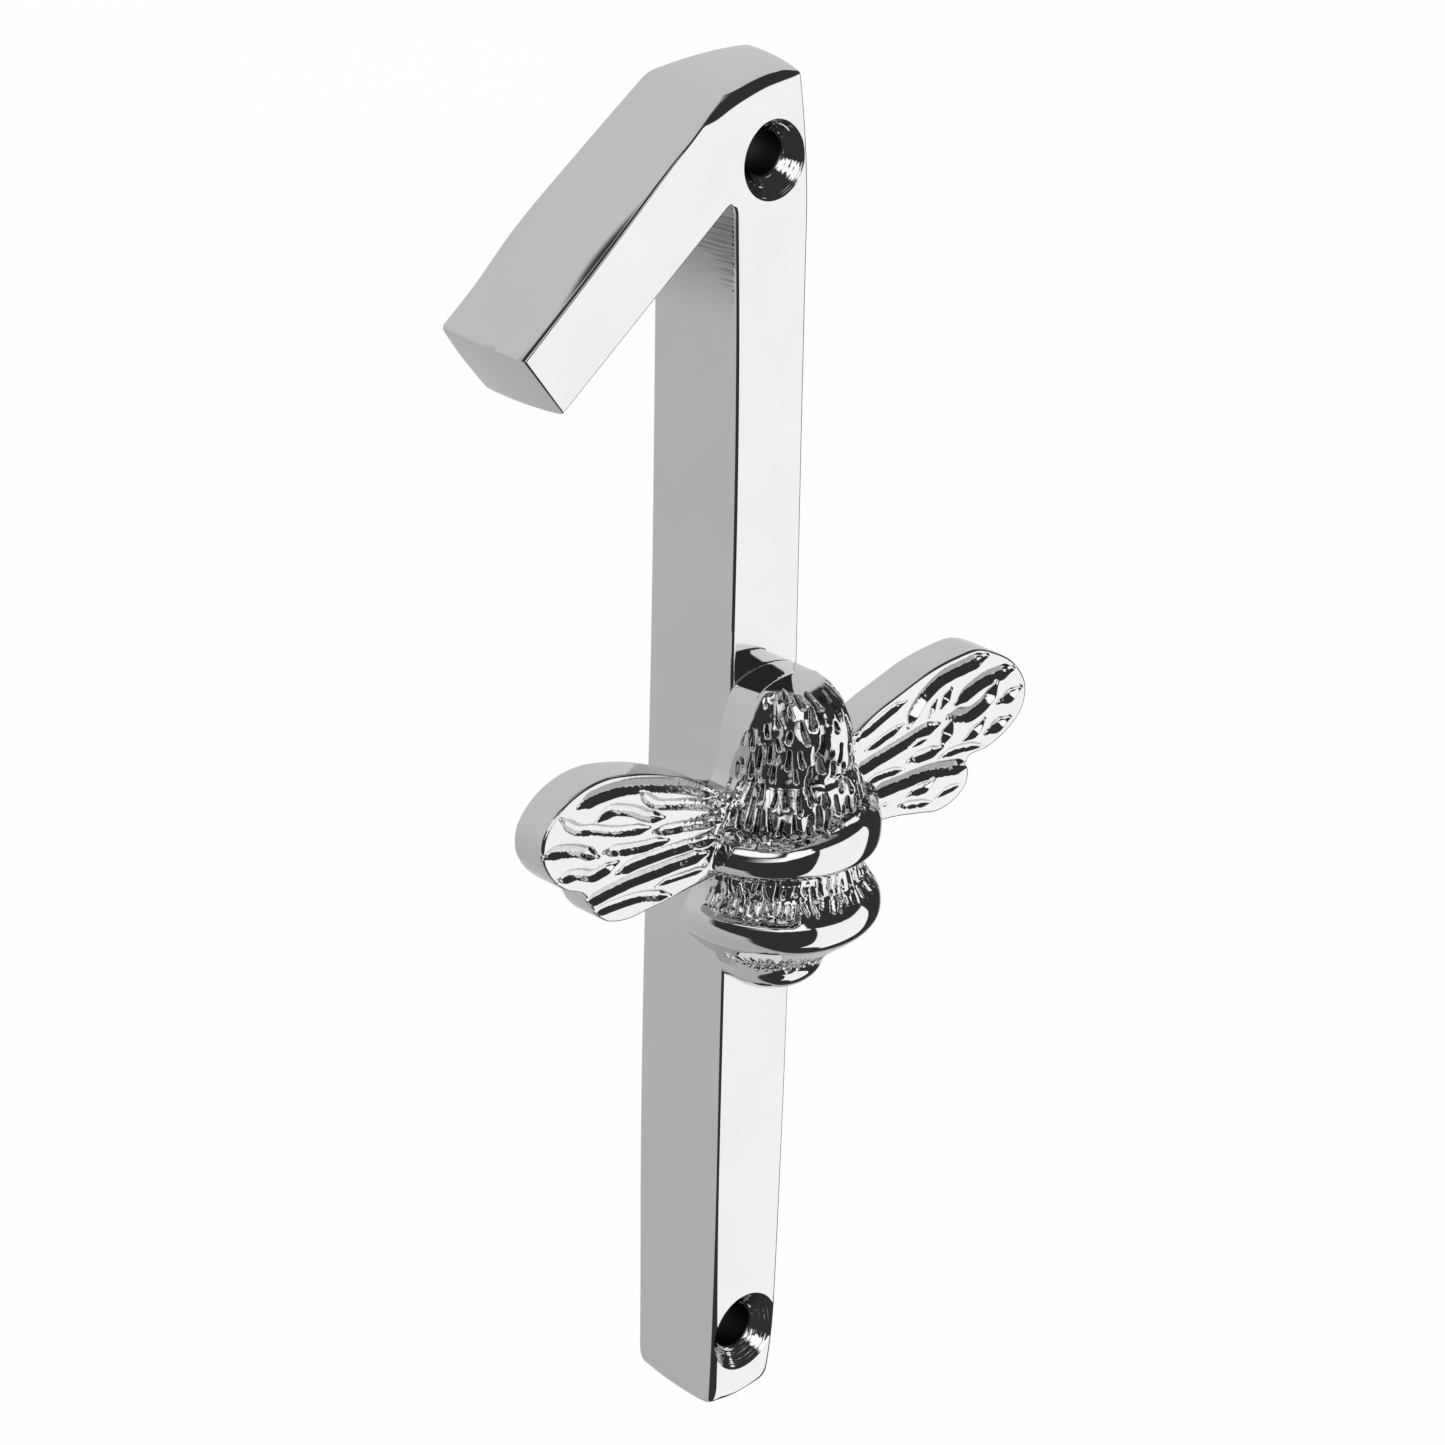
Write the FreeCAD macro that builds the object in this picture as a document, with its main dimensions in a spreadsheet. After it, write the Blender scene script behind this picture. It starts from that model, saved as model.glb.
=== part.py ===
"""House number "1" with a bumblebee ornament, for screwing to a wall or a door.

Frame: millimetres, +Z up, the number reads from the -Y side, and its flat back lies on the
plane Y = 0. The origin is on that plane, midway between the two wall-screw holes.
"""
import FreeCAD, Part
import math
import os

import Sketcher

V = FreeCAD.Vector

doc = FreeCAD.newDocument("house_number")

# ------------------------------------------------------------------ driving dimensions (mm, deg)
DIMENSIONS = [
    ("number_height", 150.0, "overall height of the numeral"),
    ("number_depth", 11.0, "wall plane to front face"),
    ("hole_pitch", 134.0, "between the two wall screws"),
    ("top_margin", 8.65, "upper wall screw to the top end"),
    ("stem_width", 9.3, "stem, across the front face"),
    ("side_draft", 1.1, "how far each side runs out from front to back"),
    ("tip_draft", 0.65, "the same, at the end of the flag"),
    ("shoulder", 6.6, "top left corner, from the stem's middle"),
    ("flag_outer_angle", 40.3, "slope of the flag's upper edge"),
    ("flag_inner_angle", 37.5, "slope of the flag's lower edge"),
    ("flag_inner_length", 29.85, "length of the flag's lower edge"),
    ("notch_drop", 10.9, "top end to the corner between flag and stem"),
    ("dub_length", 17.0, "length over which each end of the front rolls back"),
    ("dub_radius", 95.0, "radius of that roll"),
    ("shank_hole", 4.8, "clearance hole for a No. 8 wood screw"),
    ("sink_mouth", 9.1, "countersink at the front plane, before the roll"),
    ("sink_angle", 90.0, "countersink"),
    ("bee_height", 0.65, "bee's datum above the origin"),
    ("wing_span", 34.7, "stem's middle to a wing tip"),
    ("wing_thickness", 4.4, "wings and the rim of the body"),
    ("body_axis", 2.0, "middle of the body, in front of its back"),
    ("thorax_width", 6.9, "half width"),
    ("thorax_depth", 9.7, "from the body axis"),
    ("thorax_length", 7.0, "half length"),
    ("thorax_middle", 3.9, "above the bee's datum"),
    ("band_width", 10.8, "half width of the abdomen's two bulges"),
    ("band_depth", 11.8, "from the body axis"),
    ("band_length", 6.9, "half length of one bulge"),
    ("upper_band", -4.9, "middle of the upper bulge"),
    ("lower_band", -13.4, "middle of the lower bulge"),
    ("tail_width", 5.6, "half width"),
    ("tail_depth", 5.8, "from the body axis"),
    ("tail_length", 4.6, "half length"),
    ("tail_middle", -20.4, "below the bee's datum"),
    ("thread", 4.0, "M4 screws that hold the bee"),
    ("screw_clearance", 4.3, "their holes in the stem"),
    ("screw_length", 14.0, "under the head"),
    ("head_diameter", 7.0, "cheese head"),
    ("head_height", 2.6, "cheese head"),
    ("slot_width", 1.2, "screwdriver slot"),
    ("slot_depth", 1.1, "screwdriver slot"),
    ("counterbore", 7.8, "pocket for the screw head, from the back"),
    ("counterbore_depth", 4.0, "the same"),
    ("tapped_depth", 7.5, "threaded hole in the back of the bee"),
    ("thread_gap", 0.04, "radial play between thread and hole"),
    ("washer_outer", 6.6, "spring lock washer"),
    ("washer_inner", 4.2, "spring lock washer"),
    ("washer_thickness", 0.9, "spring lock washer"),
    ("washer_split", 0.5, "gap in its ring"),
    ("upper_screw", 5.0, "screw above the bee's datum"),
    ("lower_screw", -13.0, "screw below the bee's datum"),
]

sheet = doc.addObject("Spreadsheet::Sheet", "Sheet")
size = {}
for row, (alias, value, note) in enumerate(DIMENSIONS, start=1):
    sheet.set("A%d" % row, alias)
    sheet.set("B%d" % row, str(value))
    sheet.setAlias("B%d" % row, alias)
    sheet.set("C%d" % row, note)
    size[alias] = value
doc.recompute()

TOP = "(Sheet.hole_pitch / 2 + Sheet.top_margin)"
BOTTOM = "(%s - Sheet.number_height)" % TOP


# ------------------------------------------------------------------ helpers
def origin_plane(body, role):
    """The body's own origin plane with this role."""
    for feature in body.Origin.OriginFeatures:
        if feature.Role == role:
            return feature
    raise ValueError("no origin plane " + role)


def new_body(name):
    body = doc.addObject("PartDesign::Body", name)
    body.Label = name
    body.Placement = FreeCAD.Placement()
    return body


def new_sketch(body, name, role, offset=None):
    """An empty sketch on an origin plane; offset is an expression along the plane's normal."""
    sketch = body.newObject("Sketcher::SketchObject", name)
    sketch.AttachmentSupport = [(origin_plane(body, role), "")]
    sketch.MapMode = "FlatFace"
    if offset:
        sketch.setExpression("AttachmentOffset.Base.z", offset)
    return sketch


def bind(sketch, kind, elements, value, expression):
    """A dimension of the sketch, tied to the sheet; value is only where the solver starts."""
    index = sketch.addConstraint(Sketcher.Constraint(kind, *elements, value))
    sketch.setExpression("Constraints[%d]" % index, expression)


def pin(sketch, line, end, point, horizontal, vertical):
    """Hold a line's end at signed distances from the sketch's origin."""
    bind(sketch, "DistanceX", (-1, 1, line, end), point[0], horizontal)
    bind(sketch, "DistanceY", (-1, 1, line, end), point[1], vertical)


def add_chain(sketch, points):
    """A closed run of straight lines, each joined to the next."""
    count = len(points)
    for i in range(count):
        start, end = points[i], points[(i + 1) % count]
        sketch.addGeometry(Part.LineSegment(V(start[0], start[1], 0), V(end[0], end[1], 0)), False)
    for i in range(count):
        sketch.addConstraint(Sketcher.Constraint("Coincident", i, 2, (i + 1) % count, 1))


def subtract(body, feature, what):
    """Recompute and make sure that the feature really took material away."""
    before = feature.BaseFeature.Shape.Volume
    doc.recompute()
    removed = before - feature.Shape.Volume
    if removed <= 1.0:
        raise RuntimeError("%s removed nothing from %s" % (what, body.Label))
    print("%s: %s took away %.1f mm3" % (body.Label, what, removed))


# ------------------------------------------------------------------ numeral casting
def numeral_outline(body, name, offset, side, tip):
    """Outline of the figure 1: side and tip are expressions for how far its edges stand out."""
    grow = 0.0 if side == "0" else size["side_draft"]
    tip_grow = 0.0 if tip == "0" else size["tip_draft"]
    outer = math.radians(size["flag_outer_angle"])
    inner = math.radians(size["flag_inner_angle"])
    corner = (1 + math.sin(inner)) / math.cos(inner)
    top = size["hole_pitch"] / 2 + size["top_margin"]
    bottom = top - size["number_height"]
    half = size["stem_width"] / 2 + grow
    shoulder = size["shoulder"] + grow / math.sin(outer)
    drop = size["notch_drop"] + grow * corner
    length = size["flag_inner_length"] + tip_grow - grow * corner
    notch = (-half, top - drop)
    lower_tip = (notch[0] - length * math.cos(inner), notch[1] - length * math.sin(inner))
    slope, square = math.tan(outer), math.tan(inner)
    run = (top - lower_tip[1] - (-shoulder - lower_tip[0]) * slope) / (1 / square + slope)
    upper_tip = (lower_tip[0] - run, lower_tip[1] + run / square)

    sketch = new_sketch(body, name, "XZ_Plane", offset)
    add_chain(sketch, [(-half, bottom), (half, bottom), (half, top), (-shoulder, top),
                       upper_tip, lower_tip, notch])
    foot, right, head, outer_edge, end, inner_edge, left = range(7)
    for line in (foot, head):
        sketch.addConstraint(Sketcher.Constraint("Horizontal", line))
    for line in (right, left):
        sketch.addConstraint(Sketcher.Constraint("Vertical", line))
    sketch.addConstraint(Sketcher.Constraint("Perpendicular", end, inner_edge))
    half_text = "Sheet.stem_width / 2 + %s" % side
    corner_text = "(1 + sin(Sheet.flag_inner_angle * 1deg)) / cos(Sheet.flag_inner_angle * 1deg)"
    pin(sketch, foot, 1, (-half, bottom), "-(%s)" % half_text, BOTTOM)
    pin(sketch, right, 2, (half, top), half_text, TOP)
    bind(sketch, "DistanceX", (-1, 1, head, 2), -shoulder,
         "-(Sheet.shoulder + %s / sin(Sheet.flag_outer_angle * 1deg))" % side)
    bind(sketch, "DistanceY", (-1, 1, left, 1), top - drop,
         "%s - Sheet.notch_drop - %s * %s" % (TOP, side, corner_text))
    bind(sketch, "Distance", (inner_edge,), length,
         "Sheet.flag_inner_length + %s - %s * %s" % (tip, side, corner_text))
    bind(sketch, "Angle", (inner_edge,), inner, "Sheet.flag_inner_angle * 1deg")
    bind(sketch, "Angle", (outer_edge,), outer - math.pi, "(Sheet.flag_outer_angle - 180) * 1deg")
    return sketch


def dub_sketch(body, name, end, sign, end_text):
    """The sliver between the front plane and the rolled-back end of the front face."""
    depth, reach, radius = size["number_depth"], size["dub_length"], size["dub_radius"]
    start = end - sign * reach
    fall = radius - math.sqrt(radius ** 2 - reach ** 2)
    sketch = new_sketch(body, name, "YZ_Plane")
    centre = V(radius - depth, start, 0)
    half_turn = math.asin(reach / radius)
    first, last = (math.pi - half_turn, math.pi) if sign > 0 else (math.pi, math.pi + half_turn)
    arc = Part.ArcOfCircle(Part.Circle(centre, V(0, 0, 1), radius), first, last)
    sketch.addGeometry(arc, False)
    flat_end, rolled_end = (2, 1) if sign > 0 else (1, 2)
    clear = -depth - 2.0
    corners = [(fall - depth, end), (clear, end), (clear, start), (-depth, start)]
    for a, b in zip(corners, corners[1:]):
        sketch.addGeometry(Part.LineSegment(V(a[0], a[1], 0), V(b[0], b[1], 0)), False)
    sketch.addConstraint(Sketcher.Constraint("Coincident", 0, rolled_end, 1, 1))
    sketch.addConstraint(Sketcher.Constraint("Coincident", 1, 2, 2, 1))
    sketch.addConstraint(Sketcher.Constraint("Coincident", 2, 2, 3, 1))
    sketch.addConstraint(Sketcher.Constraint("Coincident", 3, 2, 0, flat_end))
    sketch.addConstraint(Sketcher.Constraint("Horizontal", 1))
    sketch.addConstraint(Sketcher.Constraint("Horizontal", 3))
    sketch.addConstraint(Sketcher.Constraint("Vertical", 2))
    start_text = "%s - %d * Sheet.dub_length" % (end_text, sign)
    bind(sketch, "Radius", (0,), radius, "Sheet.dub_radius")
    pin(sketch, 0, 3, (centre.x, start), "Sheet.dub_radius - Sheet.number_depth", start_text)
    bind(sketch, "DistanceY", (-1, 1, 1, 1), end, end_text)
    bind(sketch, "DistanceX", (-1, 1, 2, 1), clear, "-(Sheet.number_depth + 2)")
    bind(sketch, "DistanceY", (-1, 1, 3, 1), start, start_text)
    return sketch


def hole_sketch(body, name, offset, centres, radius):
    """Circles on the stem's middle line, at the given heights."""
    sketch = new_sketch(body, name, "XZ_Plane", offset)
    for i, (height, text) in enumerate(centres):
        sketch.addGeometry(Part.Circle(V(0, height, 0), V(0, 0, 1), radius), False)
        sketch.addConstraint(Sketcher.Constraint("PointOnObject", i, 3, -2))
        bind(sketch, "DistanceY", (-1, 1, i, 3), height, text)
        sketch.addConstraint(Sketcher.Constraint("Radius", i, radius))
    return sketch


def screw_heights():
    """Heights of the bee's two screws, as numbers and as expressions."""
    return [(size["bee_height"] + size[which], "Sheet.bee_height + Sheet.%s" % which)
            for which in ("upper_screw", "lower_screw")]


def make_numeral():
    body = new_body("numeral_casting")
    back = numeral_outline(body, "back_outline", "0", "Sheet.side_draft", "Sheet.tip_draft")
    front = numeral_outline(body, "front_outline", "Sheet.number_depth", "0", "0")
    doc.recompute()
    solid = body.newObject("PartDesign::AdditiveLoft", "figure_one")
    solid.Profile = back
    solid.Sections = [front]
    solid.Ruled = True
    doc.recompute()

    top = size["hole_pitch"] / 2 + size["top_margin"]
    ends = [("top_roll", top, 1, TOP), ("foot_roll", top - size["number_height"], -1, BOTTOM)]
    for name, end, sign, text in ends:
        sketch = dub_sketch(body, name + "_profile", end, sign, text)
        doc.recompute()
        roll = body.newObject("PartDesign::Pocket", name)
        roll.Profile = sketch
        roll.Type = "Length"
        roll.Midplane = True
        roll.setExpression("Length", "4 * Sheet.flag_inner_length")
        subtract(body, roll, name)

    half_pitch = size["hole_pitch"] / 2
    centres = [(half_pitch, "Sheet.hole_pitch / 2"), (-half_pitch, "-Sheet.hole_pitch / 2")]
    sketch = hole_sketch(body, "wall_hole_centres", "Sheet.number_depth", centres, 1.0)
    doc.recompute()
    holes = body.newObject("PartDesign::Hole", "wall_screw_holes")
    holes.Profile = sketch
    doc.recompute()
    holes.ThreadType = "None"
    holes.DepthType = "ThroughAll"
    holes.HoleCutType = "Countersink"
    holes.HoleCutCustomValues = True
    holes.setExpression("Diameter", "Sheet.shank_hole")
    holes.setExpression("HoleCutDiameter", "Sheet.sink_mouth")
    holes.setExpression("HoleCutCountersinkAngle", "Sheet.sink_angle")
    subtract(body, holes, "wall screw holes")

    sketch = hole_sketch(body, "bee_screw_centres", "0", screw_heights(), 1.0)
    doc.recompute()
    pockets = body.newObject("PartDesign::Hole", "bee_screw_holes")
    pockets.Profile = sketch
    doc.recompute()
    pockets.ThreadType = "None"
    pockets.DepthType = "ThroughAll"
    pockets.Reversed = True
    pockets.HoleCutType = "Counterbore"
    pockets.HoleCutCustomValues = True
    pockets.setExpression("Diameter", "Sheet.screw_clearance")
    pockets.setExpression("HoleCutDiameter", "Sheet.counterbore")
    pockets.setExpression("HoleCutDepth", "Sheet.counterbore_depth")
    subtract(body, pockets, "bee screw holes")
    return body


# ------------------------------------------------------------------ bee casting
# One wing, as shares of the wing span: each stretch is an arc through a middle point.
WING_ARCS = [
    ((0.200, 0.012), (0.470, 0.140), (0.735, 0.190)),
    ((0.735, 0.190), (0.945, 0.095), (0.985, -0.052)),
    ((0.985, -0.052), (0.905, -0.135), (0.775, -0.172)),
    ((0.775, -0.172), (0.755, -0.243), (0.660, -0.303)),
    ((0.660, -0.303), (0.500, -0.288), (0.280, -0.268)),
]


def wing_sketch(body):
    """Both wings and the strip under the body that joins them, as one closed outline."""
    span, datum = size["wing_span"], size["bee_height"]
    sketch = new_sketch(body, "wing_outline", "XZ_Plane", "Sheet.number_depth")
    ends = {}
    for side in (1, -1):
        for stretch in WING_ARCS:
            start, middle, end = (V(side * u * span, datum + v * span, 0) for u, v in stretch)
            index = sketch.addGeometry(Part.Arc(start, middle, end), False)
            radius = sketch.Geometry[index].Radius
            first = sketch.getPoint(index, 1)
            start_end, end_end = (1, 2) if first.distanceToPoint(start) < 1e-6 else (2, 1)
            ends[(side, stretch[0])] = ends.get((side, stretch[0]), []) + [(index, start_end)]
            ends[(side, stretch[2])] = ends.get((side, stretch[2]), []) + [(index, end_end)]
            bind(sketch, "Radius", (index,), radius, "Sheet.wing_span * %.6f" % (radius / span))
    for (side, (u, v)), joined in ends.items():
        if len(joined) == 2:
            sketch.addConstraint(Sketcher.Constraint("Coincident", *joined[0], *joined[1]))
        pin(sketch, *joined[0], (side * u * span, datum + v * span),
            "Sheet.wing_span * %.3f" % (side * u), "Sheet.bee_height + Sheet.wing_span * %.3f" % v)
    for corner in (WING_ARCS[0][0], WING_ARCS[-1][2]):
        right, left = ends[(1, corner)][0], ends[(-1, corner)][0]
        line = sketch.addGeometry(Part.LineSegment(sketch.getPoint(*right), sketch.getPoint(*left)), False)
        sketch.addConstraint(Sketcher.Constraint("Coincident", line, 1, *right))
        sketch.addConstraint(Sketcher.Constraint("Coincident", line, 2, *left))
    return sketch


def add_bulge(body, name, part, height):
    """An ellipsoid of the bee's body on the body axis; its sizes are three cells of the sheet."""
    bulge = body.newObject("PartDesign::AdditiveEllipsoid", name)
    bulge.setExpression("Radius1", "Sheet.%s_length" % part)
    bulge.setExpression("Radius2", "Sheet.%s_width" % part)
    bulge.setExpression("Radius3", "Sheet.%s_depth" % part)
    bulge.setExpression("Placement.Base.y", "-(Sheet.number_depth + Sheet.body_axis)")
    bulge.setExpression("Placement.Base.z", "Sheet.bee_height + Sheet.%s" % height)
    doc.recompute()
    return bulge


def back_trim_sketch(body):
    """A rectangle that covers the whole bee, on its flat back."""
    sketch = new_sketch(body, "back_trim_area", "XZ_Plane", "Sheet.number_depth")
    reach = size["wing_span"]
    add_chain(sketch, [(-reach, -reach), (reach, -reach), (reach, reach), (-reach, reach)])
    for line in (0, 2):
        sketch.addConstraint(Sketcher.Constraint("Horizontal", line))
    for line in (1, 3):
        sketch.addConstraint(Sketcher.Constraint("Vertical", line))
    pin(sketch, 0, 1, (-reach, -reach), "-Sheet.wing_span", "-Sheet.wing_span")
    pin(sketch, 1, 2, (reach, reach), "Sheet.wing_span", "Sheet.wing_span")
    return sketch


def make_bee():
    body = new_body("bee_casting")
    outline = wing_sketch(body)
    doc.recompute()
    wings = body.newObject("PartDesign::Pad", "wings")
    wings.Profile = outline
    wings.setExpression("Length", "Sheet.wing_thickness")
    doc.recompute()
    add_bulge(body, "thorax", "thorax", "thorax_middle")
    add_bulge(body, "upper_bulge", "band", "upper_band")
    add_bulge(body, "lower_bulge", "band", "lower_band")
    add_bulge(body, "tail", "tail", "tail_middle")

    area = back_trim_sketch(body)
    doc.recompute()
    trim = body.newObject("PartDesign::Pocket", "flat_back")
    trim.Profile = area
    trim.Type = "Length"
    trim.Reversed = False
    trim.setExpression("Length", "2 * Sheet.number_depth")
    subtract(body, trim, "flat back")

    sketch = hole_sketch(body, "thread_centres", "Sheet.number_depth", screw_heights(), 1.0)
    doc.recompute()
    threads = body.newObject("PartDesign::Hole", "threaded_holes")
    threads.Profile = sketch
    doc.recompute()
    threads.ThreadType = "None"
    threads.DepthType = "Dimension"
    threads.DrillPoint = "Flat"
    threads.Reversed = True
    threads.setExpression("Diameter", "Sheet.thread")
    threads.setExpression("Depth", "Sheet.tapped_depth")
    subtract(body, threads, "threaded holes")
    return body


# ------------------------------------------------------------------ hidden fixings
def cylinder(name, radius, height):
    """A cylinder along -Y, whose radius and height are expressions."""
    solid = doc.addObject("Part::Cylinder", name)
    solid.Placement = FreeCAD.Placement(V(0, 0, 0), FreeCAD.Rotation(V(1, 0, 0), 90))
    solid.setExpression("Radius", radius)
    solid.setExpression("Height", height)
    return solid


def combine(kind, name, base, tool):
    result = doc.addObject(kind, name)
    result.Base = base
    result.Tool = tool
    return result


def make_group(name, solids):
    """Identical fasteners as one sub-part of separate solids."""
    group = doc.addObject("Part::Compound", name)
    group.Links = solids
    group.Label = name
    group.Placement = FreeCAD.Placement()
    return group


def make_screws():
    """Two slotted cheese-head screws, in from the back of the stem."""
    seat = "-(Sheet.counterbore_depth - Sheet.washer_thickness)"
    screws = []
    for which in ("upper", "lower"):
        height = "Sheet.bee_height + Sheet.%s_screw" % which
        shank = cylinder(which + "_shank", "Sheet.thread / 2 - Sheet.thread_gap", "Sheet.screw_length")
        shank.setExpression("Placement.Base.y", seat)
        head = cylinder(which + "_head", "Sheet.head_diameter / 2", "Sheet.head_height")
        head.setExpression("Placement.Base.y", seat + " + Sheet.head_height")
        slot = doc.addObject("Part::Box", which + "_slot")
        slot.setExpression("Length", "2 * Sheet.head_diameter")
        slot.setExpression("Width", "2 * Sheet.slot_depth")
        slot.setExpression("Height", "Sheet.slot_width")
        slot.setExpression("Placement.Base.x", "-Sheet.head_diameter")
        slot.setExpression("Placement.Base.y", seat + " + Sheet.head_height - Sheet.slot_depth")
        slot.setExpression("Placement.Base.z", height + " - Sheet.slot_width / 2")
        for solid in (shank, head):
            solid.setExpression("Placement.Base.z", height)
        blank = combine("Part::Fuse", which + "_blank", head, shank)
        screws.append(combine("Part::Cut", which + "_screw", blank, slot))
    return make_group("bee_fixing_screws", screws)


def make_washers():
    """Two split spring washers, under the screw heads."""
    washers = []
    for which in ("upper", "lower"):
        height = "Sheet.bee_height + Sheet.%s_screw" % which
        floor = "-(Sheet.counterbore_depth - Sheet.washer_thickness)"
        disc = cylinder(which + "_disc", "Sheet.washer_outer / 2", "Sheet.washer_thickness")
        bore = cylinder(which + "_bore", "Sheet.washer_inner / 2", "3 * Sheet.washer_thickness")
        disc.setExpression("Placement.Base.y", floor)
        bore.setExpression("Placement.Base.y", floor + " + Sheet.washer_thickness")
        split = doc.addObject("Part::Box", which + "_split")
        split.setExpression("Length", "Sheet.washer_outer")
        split.setExpression("Width", "3 * Sheet.washer_thickness")
        split.setExpression("Height", "Sheet.washer_split")
        split.setExpression("Placement.Base.y", floor + " - 2 * Sheet.washer_thickness")
        split.setExpression("Placement.Base.z", height + " - Sheet.washer_split / 2")
        for solid in (disc, bore):
            solid.setExpression("Placement.Base.z", height)
        ring = combine("Part::Cut", which + "_ring", disc, bore)
        washers.append(combine("Part::Cut", which + "_washer", ring, split))
    return make_group("bee_lock_washers", washers)


# ------------------------------------------------------------------ build, check and write
sub_parts = [make_numeral(), make_bee(), make_screws(), make_washers()]
doc.recompute()

for item in doc.Objects:
    if "Invalid" in item.State or "Error" in item.State:
        raise RuntimeError("%s failed: %s" % (item.Name, item.State))
for item in sub_parts:
    if item.Shape.isNull() or not item.Shape.isValid():
        raise RuntimeError("%s has no valid shape" % item.Label)

os.makedirs("parts", exist_ok=True)
for item in sub_parts:
    box = item.Shape.BoundBox
    print("%-20s %d solid(s) %9.1f mm3  x %.2f..%.2f  y %.2f..%.2f  z %.2f..%.2f" % (
        item.Label, len(item.Shape.Solids), item.Shape.Volume,
        box.XMin, box.XMax, box.YMin, box.YMax, box.ZMin, box.ZMax))
    item.Shape.exportStep("parts/%s.step" % item.Label)
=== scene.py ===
import math

import bpy
import numpy as np
from mathutils import Matrix, Vector


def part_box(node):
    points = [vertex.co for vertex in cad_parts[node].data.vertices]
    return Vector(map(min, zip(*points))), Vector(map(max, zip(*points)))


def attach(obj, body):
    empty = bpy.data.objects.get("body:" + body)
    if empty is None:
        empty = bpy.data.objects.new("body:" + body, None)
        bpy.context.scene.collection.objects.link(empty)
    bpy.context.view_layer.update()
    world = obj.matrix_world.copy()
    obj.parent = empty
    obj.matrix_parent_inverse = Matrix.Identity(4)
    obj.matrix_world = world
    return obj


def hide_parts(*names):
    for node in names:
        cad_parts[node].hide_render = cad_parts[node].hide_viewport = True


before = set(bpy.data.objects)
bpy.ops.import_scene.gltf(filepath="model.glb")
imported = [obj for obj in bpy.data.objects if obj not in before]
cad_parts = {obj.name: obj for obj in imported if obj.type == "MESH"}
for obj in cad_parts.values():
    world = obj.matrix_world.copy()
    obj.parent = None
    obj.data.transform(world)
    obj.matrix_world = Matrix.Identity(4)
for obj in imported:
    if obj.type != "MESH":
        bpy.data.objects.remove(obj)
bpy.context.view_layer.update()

MM = 0.001

NUMERAL_LOW, NUMERAL_HIGH = (np.array(corner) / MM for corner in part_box("numeral_casting"))
MIDDLE = (NUMERAL_LOW[2] + NUMERAL_HIGH[2]) / 2
HALF_HEIGHT = (NUMERAL_HIGH[2] - NUMERAL_LOW[2]) / 2
FRONT, BACK = NUMERAL_LOW[1], NUMERAL_HIGH[1]

STEM_HALF = 4.65  # half the stem's width at the front
WALL_SCREW = 67  # the two wall-screw holes are this far above and below the origin
SHANK_RADIUS, SINK_RADIUS = 2.4, 4.55  # wall-screw hole and its 90 degree countersink
BEE_SCREW_UPS = (5, -13)
COUNTERBORE_RADIUS, COUNTERBORE_DEPTH, CLEARANCE_RADIUS = 3.9, 4, 2.15
THREAD_RADIUS, TAPPED_DEPTH = 2.04, 7.5

WING_FRONT = FRONT - 4.4  # front plane of the wings, and edge of the body's smooth rim
BODY_AXIS = FRONT - 2  # the body's half ellipses start from this depth
BODY_MIDDLE = 0.2  # the body sits this much to the right


# ---------------- small tools

def ramp(value, start, end):
    """0 before start, 1 after end, with level ends."""
    share = np.clip((value - start) / (end - start), 0, 1)
    return share * share * (3 - 2 * share)


def between(value, start, full, leave, end):
    """0, rising to 1 from start to full, and falling back to 0 from leave to end."""
    return ramp(value, start, full) * (1 - ramp(value, leave, end))


def spline(points, pieces):
    """Points on a smooth curve through the given ones, pieces to each span."""
    points = np.array(points, float)
    steps = np.diff(points, axis=0)
    lengths = np.linalg.norm(steps, axis=1, keepdims=True)
    slopes = steps / lengths
    inner = (slopes[:-1] * lengths[1:] + slopes[1:] * lengths[:-1]) / (lengths[1:] + lengths[:-1])
    tangents = np.vstack([slopes[:1], inner, slopes[-1:]])
    curve = []
    for t in np.linspace(0, 1, pieces, endpoint=False):
        bend = t * (1 - t) ** 2 * tangents[:-1] - t * t * (1 - t) * tangents[1:]
        curve.append(points[:-1] + t * t * (3 - 2 * t) * steps + lengths * bend)
    return np.vstack([np.stack(curve, axis=1).reshape(-1, points.shape[1]), points[-1:]])


def new_object(name, points, faces):
    """A mesh object from points in millimetres above the numeral's middle."""
    mesh = bpy.data.meshes.new(name)
    placed = (np.asarray(points, float) + (0, 0, MIDDLE)) * MM
    mesh.from_pydata(placed.tolist(), [], faces)
    made = bpy.data.objects.new(name, mesh)
    bpy.context.scene.collection.objects.link(made)
    return made


def apply_modifiers(piece):
    """Replaces the piece's mesh by its evaluated one."""
    depsgraph = bpy.context.evaluated_depsgraph_get()
    mesh = bpy.data.meshes.new_from_object(piece.evaluated_get(depsgraph))
    piece.modifiers.clear()
    piece.data = mesh


# ---------------- camera, floor and studio

def make_camera():
    """Looks down at the numeral from the upper left."""
    turn, tip, roll = (math.radians(angle) for angle in (-43.265, 23.807, 1.426))
    place = Vector((-493.449, -529.297, 319.863 + MIDDLE)) * MM
    data = bpy.data.cameras.new("camera")
    data.sensor_width = 36
    data.lens = 187.33
    data.clip_start = 0.01
    camera = bpy.data.objects.new("camera", data)
    camera.matrix_world = (Matrix.Translation(place) @ Matrix.Rotation(turn, 4, "Z")
                           @ Matrix.Rotation(math.pi / 2 - tip, 4, "X") @ Matrix.Rotation(roll, 4, "Z"))
    bpy.context.scene.collection.objects.link(camera)
    bpy.context.scene.camera = camera


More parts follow.
